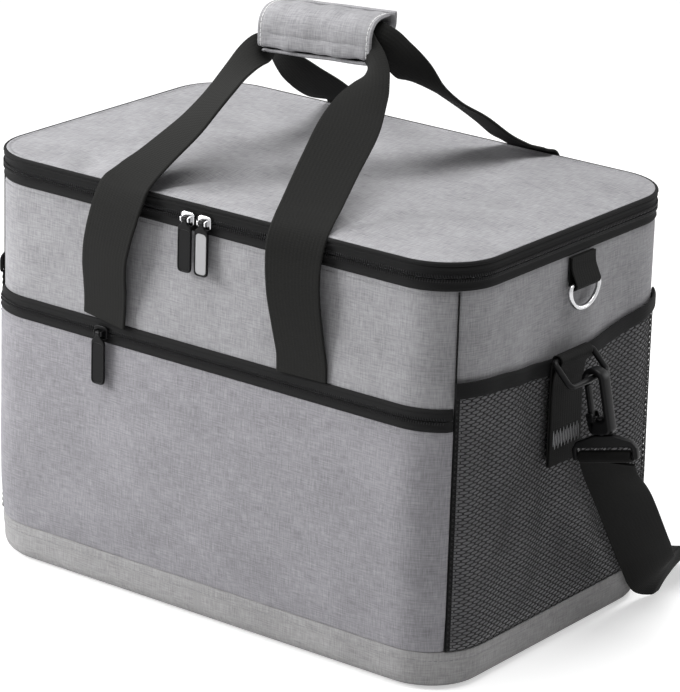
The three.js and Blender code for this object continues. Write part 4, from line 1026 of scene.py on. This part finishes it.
# Wrap grip: padded sleeve open at the back, closed by a flap with hook and loop
cover_low, cover_high = box_mm("grip_cover")
flap_high = box_mm("grip_flap")[1]
COVER_TOP, COVER_LOW, LIP_END = GRIP_Z + 14.3, GRIP_Z - 15.4, -11.0
FLAP_LEFT, FLAP_RIGHT, FLAP_FRONT = -GRIP_L / 2 + 1.5, GRIP_L / 2 + 3.0, -16.5
COVER_T, FLAP_T, END_SEAM = 2.4, 2.2, 2.4
GRIP_EDGE = (0.6, 1.3, 2.2, 3.4)


def tilted(mesh):
    """A mesh on the grip, brought down at the grip's lower end."""
    points, faces, cloth = mesh
    points = np.array(points, float)
    points[:, 2] += GRIP_TILT * (points[:, 0] - GRIP_HIGH_X)
    return points, faces, cloth


def along_x(x, places):
    """Places on the grip from x and [y, z]."""
    return np.concatenate([np.broadcast_to(x, places.shape[:-1])[..., None], places], axis=-1)


cover_line, cover_girth = hull_path([
    [cover_high[1] - 0.3, COVER_TOP], [cover_low[1] + 0.3, COVER_TOP],
    [cover_low[1] + 0.3, COVER_LOW], [LIP_END, COVER_LOW],
], [17.5, 4.5])
cover_way = unit(np.gradient(cover_line, axis=0))
cover_out = np.stack([-cover_way[:, 1], cover_way[:, 0]], axis=1)
cover_out = cover_out * np.sign(np.mean(np.sum(cover_out * (cover_line - cover_line.mean(axis=0)), axis=1)))


def grip_cover():
    x = spaced(-GRIP_L / 2, GRIP_L / 2, 3.0, GRIP_EDGE)
    grid_x, k = np.meshgrid(x, np.arange(len(cover_line)), indexing="ij")
    edge = GRIP_L / 2 - np.abs(grid_x)
    girth = cover_girth[k]
    seam = bell(cover_line[:, 1], GRIP_Z - 5, 1.2) * (cover_line[:, 0] < cover_low[1] + 6)
    ripple = wave(grid_x, girth, [(0.4, 37, 60, 0.4), (0.3, 23, -44, 1.7), (0.2, 13, 90, 3)])
    puff = -0.8 * bell(edge, END_SEAM, 1.1) - 0.4 * bell(edge, 0, 0.8)
    puff = puff - 0.8 * seam[k] * smooth(edge, 4, 9) + smooth(edge, 3, 9) * ripple
    grid = along_x(grid_x, cover_line[k] + cover_out[k] * puff[..., None])
    return tilted(sheet(grid[::-1], COVER_T, grid_x[::-1], girth))


cover = piece("grip_wrap", grip_cover(), CLOTH, "front_loop", ("grip_cover",))

flap_line, flap_girth = hull_path([
    [flap_high[1] - 0.4, COVER_TOP + 0.2], [flap_high[1] - 0.4, COVER_TOP - 9], [-9.0, COVER_LOW - 3.0],
    [FLAP_FRONT, COVER_LOW - 3.5],
], [8.0, 6.0])
flap_way = unit(np.gradient(flap_line, axis=0))
flap_out = np.stack([-flap_way[:, 1], flap_way[:, 0]], axis=1)


def grip_flap(x, thick, depth, rows):
    """A layer of the flap, some way in from its outer face."""
    grid_x, k = np.meshgrid(x, rows, indexing="ij")
    edge = np.minimum(grid_x - FLAP_LEFT, FLAP_RIGHT - grid_x)
    puff = -0.6 * bell(edge, END_SEAM, 1.1) + wave(grid_x, flap_girth[k], [(0.2, 41, 30, 0.2)]) - depth
    grid = along_x(grid_x, flap_line[k] + flap_out[k] * puff[..., None])
    return tilted(sheet(grid, thick, grid_x, flap_girth[k]))


flap_top = flap_high[2] - GRIP_TILT * GRIP_HIGH_X
flap_bend = ("front_loop", "flap", (0, 2, flap_top), (7 * GRIP_TILT, 2, flap_top - 7))
flap_x = spaced(FLAP_LEFT, FLAP_RIGHT, 3.0, GRIP_EDGE)
flap_mesh = grip_flap(flap_x, FLAP_T, 0, np.arange(len(flap_line)))
flap = piece("grip_flap_cloth", flap_mesh, CLOTH, flap_bend, ("grip_flap",))
facing_rows = np.nonzero((flap_line[:, 1] < flap_top - 9) & (flap_line[:, 0] > -7))[0]
flap_facing = grip_flap(flap_x[2:-2], 0.5, FLAP_T, facing_rows)
piece("grip_flap_facing", flap_facing, HOOK_LOOP, "flap")
for end, x in (("left", FLAP_LEFT), ("right", FLAP_RIGHT)):
    edge = tilted(sweep(along_x(x, flap_line[2:] - flap_out[2:]), (1, 0, 0), circle(0.75, 8)))
    piece(f"grip_flap_edge_{end}", edge, WHITE_THREAD, flap_bend)
for pad, body, depth in (("grip_loop_strip", "front_loop", 0.0), ("grip_hook_strip", "flap", 0.6)):
    low, high = box_mm(pad)
    low[1:] = FLAP_FRONT + 0.6, COVER_LOW - depth - 0.6
    high[1:] = LIP_END - 0.6, COVER_LOW - depth
    piece(f"{pad}_pad", tilted(brick(low, high, 0.2)), HOOK_LOOP, body, (pad,))

# Stitching on the ends of the grip
row_at = np.interp(np.arange(0, cover_girth[-1], 2.9) + 1.4, cover_girth, np.arange(len(cover_line)))
row_at = np.clip(np.round(row_at).astype(int), 1, len(cover_line) - 2)
for end, sign in (("left", -1), ("right", 1)):
    place = along_x(sign * (GRIP_L / 2 - END_SEAM), cover_line[row_at] - 0.55 * cover_out[row_at])
    stitches = scatter(place, along_x(0, cover_way[row_at]), along_x(0, cover_out[row_at]), 2.8, 1.0, 0.8)
    piece(f"grip_end_stitch_{end}", tilted(stitches), WHITE_THREAD, "front_loop")

# Zip sliders and pullers. UPRIGHT stands a plate up to face the front, SIDEWAYS to face the side
UPRIGHT = Matrix(((1, 0, 0, 0), (0, 0, -1, 0), (0, 1, 0, 0), (0, 0, 0, 1)))
SIDEWAYS = Matrix(((0, 0, 1, 0), (1, 0, 0, 0), (0, 1, 0, 0), (0, 0, 0, 1)))
LID_PIN_Y, POCKET_PIN_Y = -132.7, -135.3
PULLER_L, PULLER_HALF, INNER_T = 36.0, 5.5, 1.2


def zip_slider(node, x, chain_z, pin_y, look, slot):
    rear = box_mm(node)[1][1]
    top = pin_y + 2.3
    shape = rounded([(-5.5, -3.4), (-3.2, -4.7), (3.2, -4.7), (5.5, -3.4),
                     (5.5, 3.4), (3.2, 4.7), (-3.2, 4.7), (-5.5, 3.4)], 1.4, 3)
    lug_shape = rounded([(pin_y - 1.2, -1.6), (top + 0.6, -2.2), (top + 0.6, 2.2),
                         (pin_y - 1.2, 1.6)], 1.0, 3)
    parts = [
        plate([shape], 2.0, 0.55, Matrix.Translation((x, top + 1.0, chain_z)) @ UPRIGHT),
        plate([shape], INNER_T, 0.25, Matrix.Translation((x, rear - INNER_T / 2, chain_z)) @ UPRIGHT),
        brick((x - 4.2, top + 1.0, chain_z - 0.4), (x + 4.2, rear - 0.3, chain_z + 0.4), 0.1),
    ]
    for lug in (-3.05, 3.05):
        parts.append(plate([lug_shape], 1.3, 0.3, Matrix.Translation((x + lug, 0, chain_z)) @ SIDEWAYS))
    parts.append(rod((x - 3.4, pin_y, chain_z), (x + 3.4, pin_y, chain_z), 0.7))
    piece(f"{node}_body", join(parts), look, node, (node,))


def zip_puller(node, x, chain_z, pin_y, face_look):
    low = chain_z - PULLER_L
    place = Matrix.Translation((0, pin_y, 0)) @ UPRIGHT

    def mirrored(half):
        """An outline from its left half, which runs down."""
        return [(x - u, z) for u, z in half] + [(x + u, z) for u, z in reversed(half)]

    def pane(rim, head, foot):
        half = PULLER_HALF - rim
        return rounded(mirrored([(half, chain_z - head), (half, low + foot)]), 3.0, 5)

    body = rounded(mirrored([(2, chain_z + 2.0), (2.1, chain_z - 2.8), (PULLER_HALF, chain_z - 5.4),
                             (PULLER_HALF, low)]), 3.2, 5)
    outer = plate([body, pane(1.1, 7.0, 1.3)[::-1]], 2.0, 0.5, place)
    eye = rod((x - 2, pin_y, chain_z), (x + 2, pin_y, chain_z), 1.95, 16)
    piece(f"{node}_body", join([outer, eye]), PLASTIC, node, (node,))
    piece(f"{node}_face", plate([pane(1.0, 6.9, 1.2)], 1.3, 0.3, place), face_look, node)


# The last column is each puller's face; the grey face on the right lid puller is a painted reflection
ZIPS = (
    ("lid_{}_left", (-15, CHAIN_Z, LID_PIN_Y), CHROME, "chrome_hardware", PLASTIC),
    ("lid_{}_right", (-1, CHAIN_Z, LID_PIN_Y), CHROME, "chrome_hardware", REFLECTION_FACE_PAINTED),
    ("pocket_{}", (-86, POCKET_CHAIN_Z, POCKET_PIN_Y), PLASTIC, "black_plastic", PLASTIC),
)
for name, place, look, slot, _ in ZIPS:
    zip_slider(name.format("slider"), *place, look, slot)
for name, place, _, _, face_look in ZIPS:
    zip_puller(name.format("puller"), *place, face_look)

# D-ring on its folded tab
TAB_Y, TAB_Z, EYE_X = 8.0, 253.0, 204.9
D_HALF, D_DROP = 16.5, 14.5
d_points = [(-13.5, 0), (-6, 0), (0, 0), (6, 0), (13.5, 0), (15.7, -0.9), (D_HALF, -3)]
d_points += [(D_HALF * u, -3 - D_DROP * v) for u, v in arc(0, 0, 1, 0, 180, 24)[1:-1]]
d_points += [(-D_HALF, -3), (-15.7, -0.9)]
d_line = [(EYE_X, TAB_Y + u, TAB_Z + v) for u, v in d_points]
piece("d_ring_wire", sweep(d_line, (1, 0, 0), circle(1.7, 14), closed=True), CHROME, "d_ring",
      ("d_ring",))
tab_line = [(201.2, 271.4), (201.2, 264), (201.2, 257.5), *arc(EYE_X, TAB_Z, 3.0, 165, 375, 14),
            (205.6, 258.5), (203.4, 264), (202.9, 271.4)]
tab_path = spline([(x, TAB_Y, z) for x, z in tab_line], 70)
tab = sweep(tab_path, (0, 1, 0), band(28, 1.3, half=6))
piece("d_ring_tab_web", tab, STRAP, "bag", ("d_ring_tab",))

# Strap anchors and rings
RING_X, RING_Z, RING_LEAN = 209.6, 208.0, math.radians(45)
anchor_line = [(205.0, 134), (205.0, 160), (205.0, 190), (205.1, 200),
               *arc(RING_X, RING_Z, 3.5, 150, -60, 14),
               (208.6, 200.5), (206.9, 192), (206.7, 160), (206.7, 134)]
anchor_path = spline([(x, ANCHOR_Y, z) for x, z in anchor_line], 110)
anchor = sweep(anchor_path, (0, 1, 0), band(36, 1.4, half=8))
tack_place = [(207.45, ANCHOR_Y - 14.5 + 29 * i / 15, 152 + 1.2 * (-1) ** i) for i in range(16)]
tack = scatter(tack_place, np.tile([0, 0, 1.0], (16, 1)), np.tile([1.0, 0, 0], (16, 1)), 11, 0.8, 0.6)
ring_line = []
for u, v, start in ((18.7, -3, 0), (-18.7, -3, 90), (-18.7, -16.5, 180), (18.7, -16.5, 270)):
    ring_line += arc(u, v, 3, start, start + 90, 6)
ring_line = [(RING_X - v * math.sin(RING_LEAN), ANCHOR_Y + u, RING_Z + v * math.cos(RING_LEAN))
             for u, v in ring_line]
ring = sweep(ring_line, (math.cos(RING_LEAN), 0, math.sin(RING_LEAN)), circle(2.1, 12), closed=True)

# Snap hook, gate and swivel frame, drawn about the middle of the hook's bow
BOW_IN, BOW_OUT, BLOCK_TOP, BLOCK_LOW, BOW_DROP = 4.6, 8.8, -27.0, -36.0, 2.1
NOSE, GATE_U, GATE_V = -2.5, -6.7, -24.0
FRAME_TOP, FRAME_HALF, FRAME_GAP, BAR_R = -36.5, 23.5, 19.8, 2.2
BAR_V = FRAME_TOP - 17 + BAR_R
clip = (Matrix.Translation((223.39, -2.0, 194.21)) @ Matrix.Rotation(math.radians(-12.5), 4, "Y")
        @ Matrix.Translation((0, 0, -BOW_DROP)))
swivel = clip @ Matrix.Rotation(math.radians(8), 4, "Z")


def rod_in(place, start, end, radius, count=14):
    return rod(place @ Vector(start), place @ Vector(end), radius, count)


def hook_mesh():
    bow = arc(0, 0, BOW_OUT, 0, 180, 18)
    bow += [(-BOW_OUT, NOSE + 1), (-BOW_OUT + 1, NOSE), (-BOW_IN - 0.6, NOSE), (-BOW_IN, NOSE + 0.6)]
    bow += arc(0, 0, BOW_IN, 180, 0, 14) + [(BOW_IN, BLOCK_TOP + 1.5), (BOW_IN - 1.5, BLOCK_TOP)]
    bow += [(-BOW_IN + 1.9, BLOCK_TOP), (-BOW_IN + 0.4, BLOCK_TOP + 1), (-BOW_IN + 0.4, GATE_V - 0.5)]
    bow += [(-BOW_IN - 0.2, GATE_V - 2.4), (-BOW_OUT + 0.6, GATE_V - 2.4), (-BOW_OUT, GATE_V - 3.2)]
    bow += arc(-BOW_OUT + 4, BLOCK_LOW + 4, 4, 180, 270, 5)
    bow += arc(BOW_OUT - 4, BLOCK_LOW + 4, 4, 270, 360, 5)
    parts = [plate([bow], 9.0, 1.5, clip @ UPRIGHT)]
    cheek = rounded([(-BOW_OUT, GATE_V - 3.4), (-BOW_IN + 1.2, GATE_V - 3.4), (-BOW_IN + 0.8, GATE_V + 2.4),
                     (-BOW_OUT, GATE_V + 2.4)], 1.6, 3)
    for y in (-3.75, 3.75):
        parts.append(plate([cheek], 1.5, 0.4, clip @ Matrix.Translation((0, y, 0)) @ UPRIGHT))
    parts.append(rod_in(clip, (0, 0, BLOCK_LOW - 0.35), (0, 0, BLOCK_LOW + 2), 4.4, 20))
    return join(parts)


def gate_mesh():
    top = NOSE - 0.5
    shape = rounded([(GATE_U - 1.5, GATE_V - 1.4), (GATE_U + 1.5, GATE_V - 1.4), (GATE_U + 1.5, top),
                     (GATE_U - 1.5, top)], 1.1, 4)
    bar = plate([shape], 5.0, 0.8, clip @ UPRIGHT)
    return join([bar, rod_in(clip, (GATE_U, -4.5, GATE_V), (GATE_U, 4.5, GATE_V), 0.9)])


def swivel_mesh():
    inner, foot = FRAME_GAP + 0.1, BAR_V - BAR_R
    right_half = [(6, FRAME_TOP), (FRAME_HALF - 3.4, FRAME_TOP - 4.4), (FRAME_HALF, FRAME_TOP - 9),
                  (FRAME_HALF, foot), (inner, foot), (inner, FRAME_TOP - 8.6)]
    left_half = [(-u, v) for u, v in reversed(right_half)]
    return join([
        plate([rounded(left_half[-1:] + right_half + left_half[:-1], 1.8, 4)], 5.4, 1.1, swivel @ UPRIGHT),
        rod_in(swivel, (-FRAME_GAP - 1.5, 0, BAR_V), (FRAME_GAP + 1.5, 0, BAR_V), BAR_R, 16),
        rod_in(swivel, (0, 0, FRAME_TOP - 1), (0, 0, BLOCK_TOP + 1), 2.4, 16),
        rod_in(swivel, (0, 0, BLOCK_TOP + 0.4), (0, 0, BLOCK_TOP + 2.2), 3.6, 18),
    ])


CLIP_PARTS = (
    ("ring_bar", ring, "ring", "strap_ring"),
    ("hook_body", hook_mesh(), "hook", "hook"),
    ("gate_bar", gate_mesh(), "gate", "hook_gate"),
    ("swivel_body", swivel_mesh(), "swivel", "swivel_frame"),
)
for side, sign in SIDES:
    piece(f"{side}_anchor_web", sided(anchor, sign), STRAP, "bag", (f"{side}_strap_anchor",))
    for name, mesh, body, node in CLIP_PARTS:
        piece(f"{side}_{name}", sided(mesh, sign), PLASTIC, f"{side}_{body}",
              (f"{side}_{node}",))
    piece(f"{side}_anchor_tack", sided(tack, sign), GREY_THREAD, "bag")

# Shoulder strap: down from the clip, on its lower edge round the rear corner, then flat behind the bag
STRAP_W, STRAP_T, STRAP_STEPS = 38.0, 1.8, 220
FLOOR, STRAP_Y = 1.3, HALF_D + 36
STRAP_CUTS = (104, 62, 8)
bar_at = np.array(clip @ Vector((0, 0, BAR_V)))
bar_across = np.array(swivel.to_3x3() @ Vector((1, 0, 0)))
bar_out = np.array(swivel.to_3x3() @ Vector((0, 1, 0)))
drop = np.array(clip.to_3x3() @ Vector((0, 0, -1)))
bar_y, bar_z = bar_at[1:]
strap_line = spline([
    [*(bar_at + drop * 3.4), *bar_across],
    [232, bar_y + 11, bar_z - 16, 0.93, 0.36, 0.08],
    [227.5, bar_y + 36, bar_z - 43, 0.8, 0.58, 0.18],
    [218.5, bar_y + 81, 45, 0.6, 0.76, 0.26],
    [214.5, bar_y + 102, 22, 0.45, 0.74, 0.5],
    [213, bar_y + 119, 18, 0.28, 0.45, 0.85],
    [209, 136, 16.5, 0.45, 0.48, 0.75],
    [196, 151, 10, 0.62, 0.6, 0.5],
    [172, 160, 4.5, 0.42, 0.88, 0.2],
    [140, STRAP_Y - 0.4, FLOOR, 0.12, 0.99, 0],
    [100, STRAP_Y, FLOOR, 0, 1, 0],
    [50, STRAP_Y, FLOOR, 0, 1, 0],
    [0, STRAP_Y, FLOOR, 0, 1, 0],
], STRAP_STEPS)
# Twice, since raising the line turns it a little: no edge goes below the floor
for _ in range(2):
    along = unit(np.gradient(strap_line[:, :3], axis=0))
    across = square_to(strap_line[:, 3:], along)
    up = np.cross(along, across)
    low = 0.4 + np.abs(across[:, 2]) * STRAP_W / 2 + np.abs(up[:, 2]) * STRAP_T / 2
    strap_line[:, 2] = np.maximum(strap_line[:, 2], low)
cuts = [0, *(int(np.argmax(strap_line[:, 2] < height)) for height in STRAP_CUTS), STRAP_STEPS]
strap_parts = [strap_line[start:end + 1] for start, end in zip(cuts, cuts[1:])]
eye_line = bar_at + circle(3.35, 24) @ np.array([drop, bar_out])
eye = sweep(eye_line, bar_across, band(STRAP_W, 1.7, half=8), closed=True)

for side, sign in SIDES:
    links = [(f"{side}_hook", f"{side}_swivel"), (f"{side}_ring", f"{side}_hook"), ("bag", f"{side}_ring")]
    piece(f"{side}_strap_eye", sided(eye, sign), STRAP, f"{side}_swivel")
    for k, part in enumerate(strap_parts):
        mesh = sweep(part[:, :3], part[:, 3:], band(STRAP_W, STRAP_T, half=8))
        body = "bag"
        if k < len(links):
            body = (*links[k], *(part[i, :3] * np.array([sign, 1, 1]) for i in (-3, 2)))
        replaced = ("shoulder_strap",) if sign > 0 and k == 0 else ()
        piece(f"{side}_strap_{k}", sided(mesh, sign), STRAP, body, replaced)

# Stitching on the body
STITCH, STITCH_STEP = (2.6, 0.65, 0.5), 3.5
ring_s = np.arange(0, AROUND - 2, STITCH_STEP)
out, tangent = facing(ring_s)
base_stitch = scatter(wall(ring_s, 20.9, 0.75), tangent, out, 2.5, 0.6, 0.5)
piece("base_stitch", base_stitch, GREY_THREAD, "bag")
edge_s = np.arange(-SEAM_F + 6, SEAM_F - 6, STITCH_STEP)
for name, z, off in (("pocket_top_stitch", POCKET_TOP - 2.6, POCKET_OFF - 0.02),
                     ("front_stitch", PANEL_TOP - 3.0, 0.02)):
    place = skin(edge_s, z, off)
    stitches = scatter(place, skin(edge_s + 0.5, z, off) - place, facing(edge_s)[0], *STITCH)
    piece(name, stitches, GREY_THREAD, "bag")


# Stage, light and camera, in metres
def seen_directly(tree):
    """1 on camera, glossy and transmission rays, 0 on the rest."""
    rays = add(tree, "ShaderNodeLightPath").outputs
    seen = maths(tree, "MAXIMUM", rays["Is Camera Ray"], rays["Is Glossy Ray"])
    return maths(tree, "MAXIMUM", seen, rays["Is Transmission Ray"])


FLOOR_HALF, FLOOR_GREY, FLOOR_GLOW = 6, 0.74, 0.5
floor_mesh = bpy.data.meshes.new("floor")
floor_corners = [(x * FLOOR_HALF, y * FLOOR_HALF, 0) for x, y in ((-1, -1), (1, -1), (1, 1), (-1, 1))]
floor_mesh.from_pydata(floor_corners, [], [[0, 1, 2, 3]])
floor = bpy.data.objects.new("floor", floor_mesh)
bpy.context.scene.collection.objects.link(floor)
floor_look, tree, surface = blank("floor", (FLOOR_GREY,) * 3, 0.9, shine=0.1)
bump(tree, surface, noise(tree, object_place(tree, 40), 2), 0.02, 0.0005)
surface.inputs["Emission Color"].default_value = (1, 1, 1, 1)
glow = maths(tree, "MULTIPLY", seen_directly(tree), FLOOR_GLOW)
tree.links.new(glow, surface.inputs["Emission Strength"])
floor_mesh.materials.append(floor_look)

WORLD_FILL = 0.08
world = bpy.data.worlds.new("studio")
bpy.context.scene.world = world
world.use_nodes = True
tree = world.node_tree
tree.nodes.clear()
fill = add(tree, "ShaderNodeBackground", {"Color": (1, 1, 1, 1), "Strength": WORLD_FILL})
white = add(tree, "ShaderNodeBackground", {"Color": (1, 1, 1, 1), "Strength": 1.0})
blend = add(tree, "ShaderNodeMixShader", {0: seen_directly(tree), 1: fill.outputs[0], 2: white.outputs[0]})
add(tree, "ShaderNodeOutputWorld", {0: blend.outputs[0]})

for name, place, aim, size, watts in (
    ("key", (-1.4, -1.1, 1.0), (-0.1, 0, 0.15), 1.0, 40),
    ("top", (0.4, 0.1, 3.2), (0.1, 0, 0), 2.2, 88),
    ("rear", (0.75, 1.0, 0.55), (0.15, 0.05, 0.18), 0.5, 3),
):
    data = bpy.data.lights.new(name, "AREA")
    data.shape = "RECTANGLE"
    data.size = data.size_y = size
    data.energy = watts
    lamp = bpy.data.objects.new(name, data)
    lamp.location = place
    lamp.rotation_euler = (Vector(aim) - Vector(place)).to_track_quat("-Z", "Y").to_euler()
    bpy.context.scene.collection.objects.link(lamp)

# Camera: direction, distance and roll about a target, and how far it looks past the target
AZ, EL, DIST, ROLL = math.radians(37.0), math.radians(19.1), 2.5824, 0.0293
TARGET_Z, LOOK_RIGHT, LOOK_DOWN, LENS = 0.1669, 0.00453, 0.001563, 196.39
back = Vector((math.sin(AZ) * math.cos(EL), -math.cos(AZ) * math.cos(EL), math.sin(EL)))
level = Vector((math.cos(AZ), math.sin(AZ), 0))
over = back.cross(level)
right = math.cos(ROLL) * level + math.sin(ROLL) * over
up = -math.sin(ROLL) * level + math.cos(ROLL) * over
forward = (-back + LOOK_RIGHT * right - LOOK_DOWN * up).normalized()
right = forward.cross(up).normalized()
up = right.cross(forward)
camera_data = bpy.data.cameras.new("camera")
camera_data.sensor_width = 36
camera_data.lens = LENS
camera = bpy.data.objects.new("camera", camera_data)
turn = Matrix((right, up, -forward)).transposed().to_4x4()
camera.matrix_world = Matrix.Translation(Vector((0, 0, TARGET_Z)) + back * DIST) @ turn
bpy.context.scene.collection.objects.link(camera)
bpy.context.scene.camera = camera
bpy.context.scene.view_settings.view_transform = "Standard"

# Corners of the boxes round every shown mesh
bpy.context.view_layer.update()
shown_points = []
for thing in bpy.context.scene.objects:
    if thing.type == "MESH" and thing.name != "floor" and not thing.hide_render:
        corners = np.array([thing.matrix_world @ Vector(c) for c in thing.bound_box])
        shown_points.append(corners)
shown_points = np.concatenate(shown_points)
